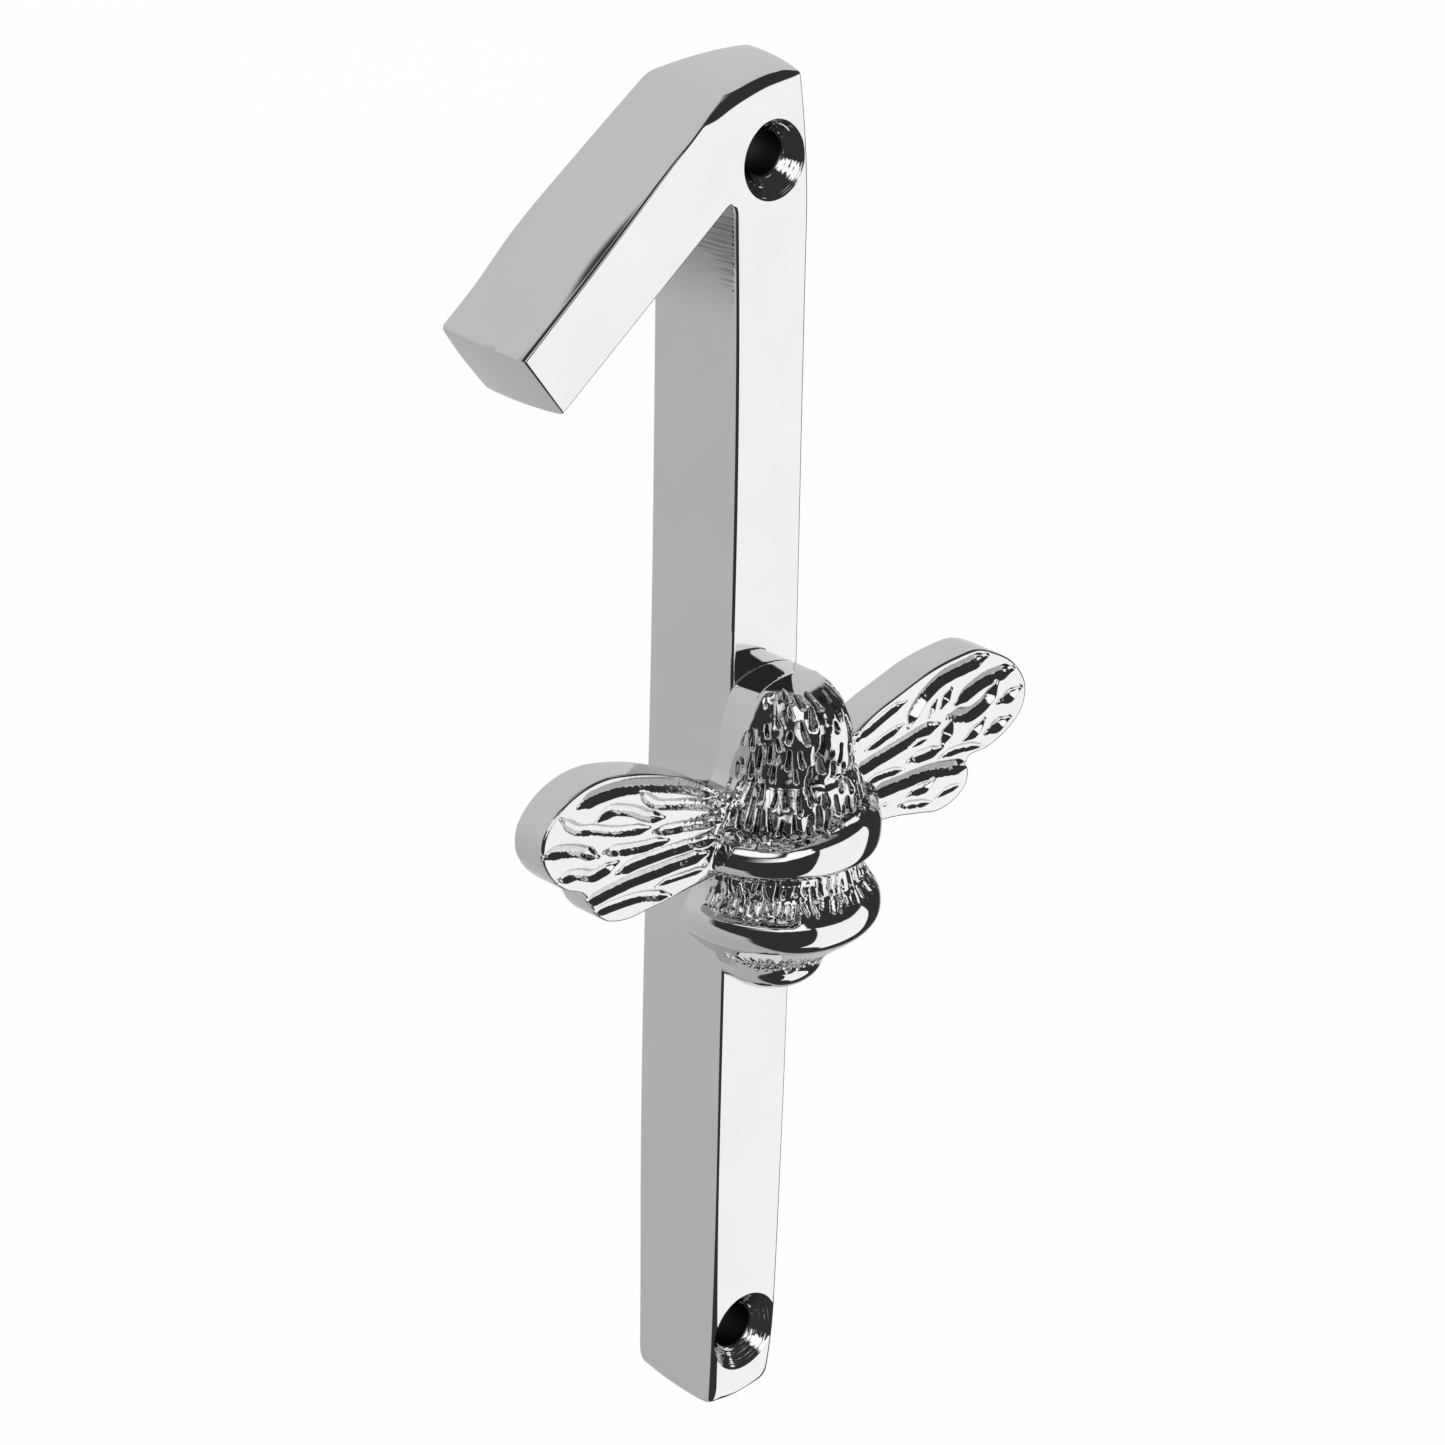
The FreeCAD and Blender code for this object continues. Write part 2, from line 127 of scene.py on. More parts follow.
class Graph:
    """Short ways to add nodes to a node tree."""

    def __init__(self, tree):
        self.tree = tree
        tree.nodes.clear()

    def node(self, kind, **settings):
        made = self.tree.nodes.new(kind)
        for key, value in settings.items():
            setattr(made, key, value)
        return made

    def put(self, value, socket):
        if isinstance(value, bpy.types.NodeSocket):
            self.tree.links.new(value, socket)
        else:
            socket.default_value = value

    def axes(self, vector):
        """A vector's x, y and z."""
        made = self.node("ShaderNodeSeparateXYZ")
        self.put(vector, made.inputs[0])
        return made.outputs

    def math(self, operation, first, second=0):
        made = self.node("ShaderNodeMath", operation=operation)
        self.put(first, made.inputs[0])
        self.put(second, made.inputs[1])
        return made.outputs[0]

    def times(self, first, *others):
        for other in others:
            first = self.math("MULTIPLY", first, other)
        return first

    def rise(self, value, start, end, low=0, high=1):
        """low before start, high after end."""
        made = self.node("ShaderNodeMapRange", interpolation_type="SMOOTHSTEP")
        for socket, given in zip(made.inputs, (value, start, end, low, high)):
            self.put(given, socket)
        return made.outputs[0]

    def band(self, value, start, end, soft):
        """1 between start and end, with soft edges."""
        above = self.rise(value, start - soft, start + soft)
        return self.times(above, self.rise(value, end - soft, end + soft, 1, 0))

    def blend(self, first, second, share):
        made = self.node("ShaderNodeMix", data_type="FLOAT")
        self.put(share, made.inputs[0])
        self.put(first, made.inputs[2])
        self.put(second, made.inputs[3])
        return made.outputs[0]

    def noise(self, place, scale, detail=2):
        made = self.node("ShaderNodeTexNoise")
        self.put(place, made.inputs["Vector"])
        self.put(scale, made.inputs["Scale"])
        self.put(detail, made.inputs["Detail"])
        return made.outputs[0]

    def stretched(self, place, scale):
        made = self.node("ShaderNodeMapping")
        self.put(place, made.inputs["Vector"])
        self.put(scale, made.inputs["Scale"])
        return made.outputs[0]


ROOM_LIGHT = (0.60, 0.81)  # the room's grey, at the bottom and at the top
DARK_LIGHT, PANEL_LIGHT, LAMP_LIGHT = 0.045, 1.40, 1.55


def room_directions(graph):
    """Where a ray goes, in degrees: azimuth from the front towards the right, and height above level."""
    x, y, z = graph.axes(graph.node("ShaderNodeTexCoord").outputs["Generated"])
    azimuth = graph.math("DEGREES", graph.math("ARCTAN2", x, graph.times(y, -1)))
    return azimuth, graph.math("DEGREES", graph.math("ARCSINE", z))


def dark_wall(graph, azimuth, height):
    """The black wall in front of the numeral. Higher up it reaches further round to the left."""
    left_end = graph.rise(height, -30, -14, -76, -112)
    left = graph.rise(graph.math("SUBTRACT", azimuth, left_end), -6, 4)
    right = graph.rise(azimuth, 110, 122, 1, 0)
    return graph.times(left, right, graph.rise(height, 62, 78, 1, 0.35))


def front_panel(graph, azimuth, height):
    """The large white panel at the front right."""
    return graph.times(graph.band(azimuth, -3, 72, 0.8), graph.band(height, -68, 22.5, 1.5))


def soft_lamps(graph, azimuth, height):
    """Three lamps at the front left: a low one with a slanted right end, and two above it."""
    right_end = graph.rise(height, 12, 20, -40, -9)
    low = graph.rise(graph.math("SUBTRACT", azimuth, right_end), -1, 1, 1, 0)
    low = graph.times(low, graph.rise(azimuth, -82, -42), graph.band(height, 11, 26, 1.5))
    middle = graph.times(graph.band(azimuth, -44, -12, 2), graph.band(height, 22, 44, 1.5))
    far = graph.times(graph.band(azimuth, -98, -54, 5), graph.band(height, 31, 54, 2.5))
    return graph.math("MAXIMUM", graph.math("MAXIMUM", low, middle), far)


def make_studio():
    """A grey room, black in front, with a white panel and three lamps. The camera itself sees white."""
    world = bpy.data.worlds.new("studio")
    bpy.context.scene.world = world
    world.use_nodes = True
    graph = Graph(world.node_tree)
    azimuth, height = room_directions(graph)
    light = graph.rise(height, -75, 40, *ROOM_LIGHT)
    light = graph.blend(light, DARK_LIGHT, dark_wall(graph, azimuth, height))
    light = graph.blend(light, PANEL_LIGHT, front_panel(graph, azimuth, height))
    light = graph.blend(light, LAMP_LIGHT, soft_lamps(graph, azimuth, height))
    light = graph.blend(light, 1, graph.node("ShaderNodeLightPath").outputs["Is Camera Ray"])
    background = graph.node("ShaderNodeBackground")
    graph.put(light, background.inputs["Color"])
    graph.put(background.outputs[0], graph.node("ShaderNodeOutputWorld").inputs["Surface"])
    bpy.context.scene.view_settings.view_transform = "Standard"


def new_material(name):
    """A material and its graph, and where a point is on the piece."""
    material = bpy.data.materials.new(name)
    material.use_nodes = True
    graph = Graph(material.node_tree)
    return material, graph, graph.node("ShaderNodeTexCoord").outputs["Object"]


def make_floor():
    """A plain white floor, too far below for shadows to reach the picture, and left out of reflections."""
    half_side, drop = 3000, 400
    corners = [(across * half_side, along * half_side, -drop)
               for across, along in ((-1, -1), (1, -1), (1, 1), (-1, 1))]
    floor = new_object("floor", corners, [(0, 1, 2, 3)])
    material, graph, place = new_material("white_floor")
    shade = graph.rise(graph.noise(place, 1.5), 0.3, 0.7, 0.985, 1)
    glow = graph.node("ShaderNodeEmission")
    graph.put(shade, glow.inputs["Color"])
    graph.put(glow.outputs[0], graph.node("ShaderNodeOutputMaterial").inputs["Surface"])
    floor.data.materials.append(material)
    floor.visible_glossy = False
    floor.visible_diffuse = False


# ---------------- finishes

BLUE_SHARE = 1.004  # chrome plate is very slightly blue


def finish_material(name, base, roughness, treat, bump_height):
    """A metal. Noise runs through the (low, high) ranges base and roughness, and treat adds the detail."""
    material, graph, place = new_material(name)
    shade = graph.rise(graph.noise(place, 90, 4), 0.3, 0.7, *base)
    rough = graph.rise(graph.noise(place, 260, 3), 0.3, 0.7, *roughness)
    shade, rough, relief = treat(graph, place, shade, rough)
    colour = graph.node("ShaderNodeCombineColor")
    for value, socket in zip((shade, shade, graph.times(shade, BLUE_SHARE)), colour.inputs):
        graph.put(value, socket)
    shader = graph.node("ShaderNodeBsdfPrincipled")
    shader.inputs["Metallic"].default_value = 1
    graph.put(colour.outputs[0], shader.inputs["Base Color"])
    graph.put(rough, shader.inputs["Roughness"])
    ripple = graph.node("ShaderNodeBump")
    ripple.inputs["Distance"].default_value = bump_height
    ripple.inputs["Strength"].default_value = 1
    graph.put(relief, ripple.inputs["Height"])
    graph.put(ripple.outputs[0], shader.inputs["Normal"])
    graph.put(shader.outputs[0], graph.node("ShaderNodeOutputMaterial").inputs["Surface"])
    return material


MARKS_AND_SHADE_UP = (46, 62, 63.7, 64)  # heights above the origin where the file marks, and the painted shade with them, start, are full, and end
MARKS_AND_SHADE_LEFT, MARKS_AND_SHADE_RIGHT = -7.2, -4.7


def screw_bores(graph, x, z):
    """1 in the plain part of the two wall-screw holes, where shade is painted."""
    from_hole = graph.math("SUBTRACT", graph.math("ABSOLUTE", z), WALL_SCREW * MM)
    squares = graph.math("ADD", graph.math("POWER", x, 2), graph.math("POWER", from_hole, 2))
    start, end = (SHANK_RADIUS + 0.05) * MM, (SHANK_RADIUS + 0.2) * MM
    return graph.rise(graph.math("SQRT", squares), start, end, 1, 0)


def file_marks_and_painted_shade(graph, x, y, z):
    """1 on the stem's left wall close under the flag, where the file marks are and shade is painted."""
    start, full, still_full, end = (up * MM for up in MARKS_AND_SHADE_UP)
    up = graph.times(graph.rise(z, start, full), graph.rise(z, still_full, end, 1, 0))
    across = graph.band(x, MARKS_AND_SHADE_LEFT * MM, MARKS_AND_SHADE_RIGHT * MM, 0.1 * MM)
    return graph.times(up, across, graph.band(y, (FRONT + 0.55) * MM, -0.5 * MM, 0.15 * MM))


def numeral_polish(graph, place, shade, rough):
    """Long faint polishing waves, rougher screw holes with painted shade, and file marks with painted shade
    on the stem under the flag.
    """
    x, y, z = graph.axes(place)
    bore, marked_and_shaded = screw_bores(graph, x, z), file_marks_and_painted_shade(graph, x, y, z)
    # painted shade: the screw holes' bores are darkened to 0.12
    # painted shade: the wall close under the flag, where the file marks are, is darkened to 0.55
    shade = graph.times(shade, graph.rise(bore, 0, 1, 1, 0.12), graph.rise(marked_and_shaded, 0, 1, 1, 0.55))
    rough = graph.math("ADD", rough, graph.times(bore, 0.3))
    waves = graph.times(graph.noise(graph.stretched(place, (1, 1, 0.12)), 160), 0.05)
    marks = graph.times(graph.noise(graph.stretched(place, (0.03, 0.05, 1)), 2000), marked_and_shaded, 2.5)
    return shade, rough, graph.math("ADD", waves, marks)


def cast_and_shaded_hollows(graph, place, shade, rough):
    """Polished on the high spots, rougher and grainy as cast in the hollows and darkened there as painted
    shade, where the mesh's hollow attribute is high.
    """
    hollow = graph.node("ShaderNodeAttribute", attribute_name="hollow").outputs["Fac"]
    # painted shade: the fur's pits and the veins' floors are darkened to 0.42; the rough lobe is darkened
    # the same way
    shade = graph.times(shade, graph.rise(hollow, 0, 1, 1, 0.42))
    rough = graph.math("ADD", rough, graph.times(hollow, 0.08))
    return shade, rough, graph.times(graph.noise(place, 2600), hollow)


def zinc_grain(graph, place, shade, rough):
    """Fine turned and tumbled grain."""
    grain = graph.noise(graph.stretched(place, (1, 0.25, 1)), 2600, 3)
    return shade, graph.math("ADD", rough, graph.times(grain, 0.1)), grain


def make_finishes():
    return {
        "numeral": finish_material("plated_numeral", (0.61, 0.63), (0.02, 0.05), numeral_polish, 0.00004),
        "bee": finish_material("plated_bee", (0.61, 0.63), (0.02, 0.04), cast_and_shaded_hollows, 0.00004),
        "steel": finish_material("zinc_plated_steel", (0.55, 0.68), (0.22, 0.34), zinc_grain, 0.00002),
    }


# ---------------- numeral casting

NUMERAL_SIDES = (
    # points along the front (across, up, radius of the edge there), points along the back (across, up),
    # then how far the first corner is softened at the front and at the back
    (((-4.6, -75.3, 1.5), (-1.2, -75.2, 0.6)), ((-5.5, -74.9),), 0.6, 3.2),
    (((4.2, -74.95, 0.8), (4.4, -67, 0.6), (4.65, -56, 0.5)), ((5.6, -74.9),), 1.3, 2),
    (((4.65, 64.1, 0.5),), ((5.9, 61.4),), 0, 0),
    (((4.5, 74.25, 0.35), (3.4, 74.46, 0.06), (0.9, 74.7, 0.05), (-2.4, 74.6, 0.05), (-5.4, 74.2, 0.08)),
     ((6.7, 74.3), (3.8, 74.65), (-2.2, 74.85), (-5.6, 74.7)), 0.3, 1.6),
    (((-6.4, 74.05, 0.06), (-8.6, 72.78, 0.15), (-10.7, 71.45, 0.25), (-13.15, 69.65, 0.35),
      (-15.45, 67.75, 0.42), (-18.5, 65.1, 0.45), (-22.3, 61.85, 0.5)),
     ((-8.1, 74.5), (-17.4, 67.95), (-26.3, 61.3), (-31.3, 56.65)), 0, 1),
    (((-33.7, 52.55, 0.7),), ((-35.3, 53.5), (-33.8, 51.3)), 0, 0.7),
    (((-28.3, 45.65, 0.4), (-18.2, 53.45, 0.4)), ((-28, 44.1),), 0, 2.6),
    (((-5.4, 63.35, 0.4), (-4.8, 47, 0.45), (-4.5, 30, 0.45), (-4.45, 15, 0.45), (-4.7, -26, 0.45),
      (-4.65, -60, 0.7)),
     ((-6.6, 61), (-6.1, 20), (-6, -50), (-5.65, -66)), 2.2, 1.5),
)
FOOT_LEFT, FOOT_RIGHT, RIGHT, TOP_RIGHT, SHOULDER, TIP, TIP_LOW, NOTCH = range(8)
SPANS = (28, 84, 44, 28, 64, 44, 64, 84)  # mesh divisions along each side, from corner to next corner
EDGE_TURN = math.radians(80)  # how far the edge turns before the wall takes over
BEVEL_TURN = math.radians(62)  # how far the front turns back to the crisp ridge along its top
BEVEL_TOP = (
    (-18, 73), (-15.5, 73), (-13.2, 73.5), (-10.7, 73.4), (-8.6, 73.5), (-6.4, 74.05), (-2.4, 74.6),
    (0.9, 74.7), (3.2, 74.5), (4.6, 74.2),
)
BEVEL_RADII = (
    (-18, 4.4), (-13.2, 4.4), (-10.7, 3.9), (-8.6, 3.3), (-6.4, 2.7), (-2.4, 2.2), (0.9, 1.9), (3.2, 1.2),
    (4.5, 0.3),
)
ROLLS = ((1, 17, 79), (-1, 10, 60))  # end (up or down), length and radius of the front's roll-back
WALL_CROWN = 0.22  # the walls bulge this much half way back
WALL_ROLL, ROLL_DEPTH = 0.05, 1.6  # the wall's own turn just behind the edge
BACK_ROUNDING = 0.5
RING_COUNT, WALL_LEVELS = 9, 24  # mesh rings round the front's edge, and down the walls


def spread(count):
    """Shares from 0 to 1, closer together at both ends."""
    even = np.linspace(0, 1, count + 1)
    return 0.35 * even + 0.65 * (1 - np.cos(np.pi * even)) / 2


def loop_of(lines):
    """Points round an outline made of one smooth line for each side."""
    points = []
    for number, count in enumerate(SPANS):
        line = spline(lines[number] + lines[(number + 1) % len(lines)][:1], 8)
        steps = np.linalg.norm(np.diff(line[:, :2], axis=0), axis=1)
        along = np.concatenate([[0], np.cumsum(steps)]) / steps.sum()
        share = spread(count)[:-1]
        points.append(np.stack([np.interp(share, along, column) for column in line.T], axis=1))
    return np.vstack(points)


def inset_lines():
    """The front's points moved in to where the flat face ends."""
    fronts = [np.array(front) for front, _, _, _ in NUMERAL_SIDES]
    points = np.vstack(fronts)
    width = points[:, 2] * math.sin(EDGE_TURN)
    moved = points[:, :2] + inward(points[:, :2]) * width[:, None]
    counts = np.cumsum([0] + [len(front) for front in fronts])
    return [tuple(map(tuple, moved[start:end])) for start, end in zip(counts[:-1], counts[1:])]


def side(loop, number):
    """The points of one side of an outline, both ends included."""
    number %= len(SPANS)
    start = sum(SPANS[:number])
    return loop[(start + np.arange(SPANS[number] + 1)) % len(loop)]


def point_along(line, distance):
    """The point of a line of points that is at a distance from its start."""
    away = np.linalg.norm(line - line[0], axis=1)
    return np.array([np.interp(distance, away, line[:, axis]) for axis in (0, 1)])


def soften(loop, share):
    """Rounds the corners with parabolas, from their reach at the front (share 0) to that at the back (1)."""
    made = loop.copy()
    for number, (_, _, front_reach, back_reach) in enumerate(NUMERAL_SIDES):
        reach = front_reach + (back_reach - front_reach) * share
        start = sum(SPANS[:number])
        corner = loop[start]
        lines = side(loop, number - 1)[::-1], side(loop, number)
        ends = [point_along(line, reach) for line in lines]
        for step in range(-SPANS[number - 1] + 1, SPANS[number]):
            index = (start + step) % len(loop)
            away = np.linalg.norm(loop[index] - corner)
            if away < reach:
                t = 0.5 * (1 + math.copysign(away / reach, step))
                made[index] = (1 - t) ** 2 * ends[0] + 2 * t * (1 - t) * corner + t ** 2 * ends[1]
    return made


def inward(loop):
    """At each point of an outline, the step inward that moves both its sides in by 1."""
    before = loop - np.roll(loop, 1, axis=0)
    after = np.roll(loop, -1, axis=0) - loop
    before /= np.linalg.norm(before, axis=1, keepdims=True)
    after /= np.linalg.norm(after, axis=1, keepdims=True)
    normals = [np.stack([-line[:, 1], line[:, 0]], axis=1) for line in (before, after)]
    mean = (normals[0] + normals[1]) / 2
    return mean / np.sum(mean * normals[0], axis=1, keepdims=True)


def front_depth(points):
    """Depth of the front: flat, but polished back towards both ends, and bevelled along the top."""
    depth = np.full(points.shape[:-1], float(FRONT))
    on_right = ramp(points[..., 0], -1.5 * STEM_HALF, 1.5 * STEM_HALF)
    for end, length, radius in ROLLS:
        into_roll = np.maximum(end * points[..., 1] - (HALF_HEIGHT - length), 0)
        depth += on_right * (radius - np.sqrt(radius ** 2 - into_roll ** 2))
    top, radius = (np.interp(points[..., 0], *spline(line, 8).T) for line in (BEVEL_TOP, BEVEL_RADII))
    reach = radius * math.sin(BEVEL_TURN)
    into_bevel = np.clip(points[..., 1] - (top - reach), 0, reach)
    return depth + radius - np.sqrt(radius ** 2 - into_bevel ** 2)


def at_depth(points, depth):
    """(across, up) points and depths as (x, y, z) points."""
    depth = np.broadcast_to(depth, points.shape[:-1])
    return np.stack([points[..., 0], depth, points[..., 1]], axis=-1)


def patch(low, high, left, right):
    """A grid of points over a four-sided area. low and high run left to right, the others low to high."""
    def shares(line):
        steps = np.cumsum(np.linalg.norm(np.diff(line, axis=0), axis=1))
        return np.concatenate([[0], steps / steps[-1]])
    across, up = shares(low)[:, None, None], shares(left)[None, :, None]
    ruled = (1 - up) * low[:, None] + up * high[:, None] + (1 - across) * left[None] + across * right[None]
    corners = ((1 - across) * (1 - up) * low[0] + across * (1 - up) * low[-1]
               + (1 - across) * up * high[0] + across * up * high[-1])
    return ruled - corners


def face_patches(loop):
    """The three four-sided areas of a face: stem, stem beside the flag, flag."""
    starts = [sum(SPANS[:number]) for number in range(8)]
    notch, right, shoulder = loop[starts[NOTCH]], loop[starts[RIGHT]], loop[starts[SHOULDER]]
    across_stem = notch + (right - notch) * spread(SPANS[FOOT_LEFT])[:, None]
    across_flag = notch + (shoulder - notch) * spread(SPANS[RIGHT])[:, None]
    stem = patch(side(loop, FOOT_LEFT), across_stem, side(loop, NOTCH)[::-1], side(loop, FOOT_RIGHT))
    upper = patch(across_stem, side(loop, TOP_RIGHT)[::-1], across_flag, side(loop, RIGHT))
    flag = patch(side(loop, TIP_LOW), side(loop, SHOULDER)[::-1], side(loop, TIP)[::-1], across_flag)
    return stem, upper, flag


def grid_faces(first, columns, rows):
    """Quads of a grid of points stored row by row."""
    return [(first + i * rows + j, first + (i + 1) * rows + j,
             first + (i + 1) * rows + j + 1, first + i * rows + j + 1)
            for i in range(columns - 1) for j in range(rows - 1)]


def edge_rings(inset, edge, radius):
    """Rings of points round the front's edge, from the flat face to where the wall starts."""
    rings = []
    for share in np.linspace(0, 1, RING_COUNT):
        ring = inset + (edge - inset) * math.sin(EDGE_TURN * share) / math.sin(EDGE_TURN)
        rings.append(at_depth(ring, front_depth(ring) + radius * (1 - math.cos(EDGE_TURN * share))))
    return rings


def wall_rings(front, back, wall_start):
    """Rings of points down the walls and round the back's edge, and the outline of the flat back."""
    rings = []
    wall_end = BACK - BACK_ROUNDING
    for share in np.linspace(0, 1, WALL_LEVELS + 1)[1:] ** 1.5:
        wall = soften(front + (back - front) * share, share)
        behind = np.clip(share * (wall_end - wall_start) / ROLL_DEPTH, 0, 1)
        out = WALL_CROWN * 4 * share * (1 - share) + WALL_ROLL * (1 - share) * (1 - (1 - behind) ** 2)
        wall = wall - inward(wall) * out[:, None]
        rings.append(at_depth(wall, wall_start + (wall_end - wall_start) * share))
    for angle in np.linspace(0, math.pi / 2, 9)[1:]:
        outline = wall + inward(wall) * BACK_ROUNDING * (1 - math.cos(angle))
        rings.append(at_depth(outline, wall_end + BACK_ROUNDING * math.sin(angle)))
    return rings, outline


def numeral_mesh():
    """Points and faces of the solid casting without its holes."""
    front = loop_of([line for line, _, _, _ in NUMERAL_SIDES])
    back = loop_of([line for _, line, _, _ in NUMERAL_SIDES])
    radius, front = front[:, 2], front[:, :2]
    inset, edge = soften(loop_of(inset_lines()), 0), soften(front, 0)
    walls, back_outline = wall_rings(front, back, front_depth(edge) + radius * (1 - math.cos(EDGE_TURN)))
    rings = edge_rings(inset, edge, radius) + walls

    grids = [(at_depth(area, front_depth(area)), False) for area in face_patches(inset)]
    grids += [(at_depth(area, BACK), True) for area in face_patches(back_outline)]
    grids.append((np.stack([np.vstack([ring, ring[:1]]) for ring in rings]), False))
    points, faces = [], []
    for grid, flip in grids:
        made = grid_faces(sum(len(p) for p in points), *grid.shape[:2])
        points.append(grid.reshape(-1, 3))
        faces += [face[::-1] for face in made] if flip else made
    return np.vstack(points), faces


def turned(name, up, profile, segments=96):
    """A closed solid of revolution about a hole's axis. profile holds (radius, depth) from front to back."""
    angles = np.linspace(0, 2 * math.pi, segments, endpoint=False)
    points = [(radius * math.cos(a), depth, up + radius * math.sin(a))
              for radius, depth in profile for a in angles]
    rows = len(profile)
    faces = [(row * segments + k, (row + 1) * segments + k,
              (row + 1) * segments + (k + 1) % segments, row * segments + (k + 1) % segments)
             for row in range(rows - 1) for k in range(segments)]
    faces.append(tuple(range(segments)))
    faces.append(tuple((rows - 1) * segments + k for k in range(segments))[::-1])
    return new_object(name, points, faces)


def countersink_profile(rng):
    """A wall-screw hole: a turned cone with fine tool marks, then the plain hole."""
    beyond = 1.5
    marks, mark_depth = 38, 0.016
    profile = [(SINK_RADIUS + beyond, FRONT - beyond)]
    for share in np.linspace(0, 1, marks):
        radius = SINK_RADIUS + (SHANK_RADIUS - SINK_RADIUS) * share
        profile.append((radius + rng.uniform(-mark_depth, mark_depth), FRONT + SINK_RADIUS - radius))
    profile.append((SHANK_RADIUS, BACK + beyond))
    return profile


def counterbore_profile():
    """A bee-screw hole: clearance from the front, then the pocket for the screw's head."""
    beyond = 1
    step = BACK - COUNTERBORE_DEPTH
    return [(CLEARANCE_RADIUS, FRONT - beyond), (CLEARANCE_RADIUS, step),
            (COUNTERBORE_RADIUS, step + 0.01), (COUNTERBORE_RADIUS, BACK + beyond)]


def numeral_cutters():
    """Solids in the shape of the two wall-screw holes and the two bee-screw holes."""
    rng = np.random.default_rng(11)
    sinks = [turned("sink_%d" % number, up, countersink_profile(rng))
             for number, up in enumerate((WALL_SCREW - MIDDLE, -WALL_SCREW - MIDDLE))]
    return sinks + [turned("bore_%d" % number, up, counterbore_profile())
                    for number, up in enumerate(BEE_SCREW_UPS)]


def cut_away(piece, cutters):
    """Cuts solids out of the piece, and removes them."""
    for cutter in cutters:
        cut = piece.modifiers.new(cutter.name, "BOOLEAN")
        cut.operation = "DIFFERENCE"
        cut.solver = "MANIFOLD"
        cut.object = cutter
    bpy.context.view_layer.update()
    apply_modifiers(piece)
    for cutter in cutters:
        bpy.data.objects.remove(cutter)


def finish_piece(piece, material, node):
    """Gives a piece its material, and puts it in place of its CAD node."""
    piece.data.materials.clear()
    piece.data.materials.append(material)
    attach(piece, "root")
    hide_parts(node)


def make_numeral(finishes):
    """The figure 1: closed, drilled, and shaded as flat faces between its edges."""
    numeral = new_object("numeral", *numeral_mesh())
    weld = numeral.modifiers.new("weld", "WELD")
    weld.merge_threshold = 0.002 * MM
    cut_away(numeral, numeral_cutters())
    numeral.data.shade_smooth()
    numeral.data.set_sharp_from_angle(angle=math.radians(16))
    even = numeral.modifiers.new("even_normals", "WEIGHTED_NORMAL")
    even.keep_sharp = True
    apply_modifiers(numeral)
    finish_piece(numeral, finishes["numeral"], "numeral_casting")


# ---------------- bee: reliefs

def bilinear(grid, i, j, du, dv):
    """Grid values between cell (i, j) and the next ones, at shares du and dv of the way."""
    return ((1 - du) * (1 - dv) * grid[i, j] + du * (1 - dv) * grid[i + 1, j]
            + (1 - du) * dv * grid[i, j + 1] + du * dv * grid[i + 1, j + 1])


class Relief:
    """How much is carved away, in millimetres, on a flat grid of (across, up)."""

    def __init__(self, low, high, step):
        self.low, self.step = low, step
        counts = [int(math.ceil((end - start) / step)) + 1 for start, end in zip(low, high)]
        self.depth = np.zeros(counts)
        axes = [start + step * np.arange(count) for start, count in zip(low, counts)]
        self.across, self.up = np.meshgrid(*axes, indexing="ij")

    def window(self, low, high):
        """Index slices that cover a small box."""
        spans = []
        for start, end, origin, count in zip(low, high, self.low, self.depth.shape):
            first = max(int((start - origin) / self.step), 0)
            last = min(int((end - origin) / self.step) + 2, count)
            spans.append(slice(first, max(last, first)))
        return tuple(spans)

    def at(self, across, up):
        """The depth at any points, by bilinear interpolation."""
        u = np.clip((across - self.low[0]) / self.step, 0, self.depth.shape[0] - 1.001)
        v = np.clip((up - self.low[1]) / self.step, 0, self.depth.shape[1] - 1.001)
        i, j = u.astype(int), v.astype(int)
        return bilinear(self.depth, i, j, u - i, v - j)


def value_noise(rng, across, up, pitch):
    """Smooth random values from -1 to 1 on a plane, with bumps about pitch apart."""
    u, v = across / pitch, up / pitch
    i, j = np.floor(u).astype(int), np.floor(v).astype(int)
    i0, j0 = i.min(), j.min()
    lattice = rng.uniform(-1, 1, (i.max() - i0 + 2, j.max() - j0 + 2))
    return bilinear(lattice, i - i0, j - j0, ramp(u - i, 0, 1), ramp(v - j, 0, 1))


def line_distance(across, up, line):
    """Distance to a line of points, how far along it that is, the line's length, and height above it."""
    best = np.full(across.shape, 1e9)
    along, above = np.zeros(across.shape), np.zeros(across.shape)
    travelled = 0
    for (ax, az), (bx, bz) in zip(line[:-1], line[1:]):
        dx, dz = bx - ax, bz - az
        length = math.hypot(dx, dz)
        share = np.clip(((across - ax) * dx + (up - az) * dz) / length ** 2, 0, 1)
        away = np.hypot(across - ax - share * dx, up - az - share * dz)
        nearer = away < best
        best = np.where(nearer, away, best)
        along = np.where(nearer, travelled + share * length, along)
        above = np.where(nearer, up - az - share * dz, above)
        travelled += length
    return best, along, travelled, above


FUR_RADIUS = 10  # the fur's across is the angle round the body times this


def up_the_body(up):
    """Heights above the crease as lengths along the dome's surface, so that the fur keeps its size on it."""
    above = PROFILE[:, 0] > CREASE_UP
    heights, depths = PROFILE[above, 0], PROFILE[above, 2]
    lengths = heights[0] + np.concatenate([[0], np.cumsum(np.hypot(np.diff(heights), np.diff(depths)))])
    return np.where(up > heights[0], np.interp(up, heights, lengths), up)


def girth(up):
    """The body's radius over the fur's, at up-the-body heights."""
    radius = (PROFILE[:, 1] + PROFILE[:, 2]) / 2
    return np.interp(up, up_the_body(PROFILE[:, 0]), radius) / FUR_RADIUS


def to_right(across):
    """1 on the body's right, 0 from its left front on."""
    return 1 - ramp(across, 13, 24)


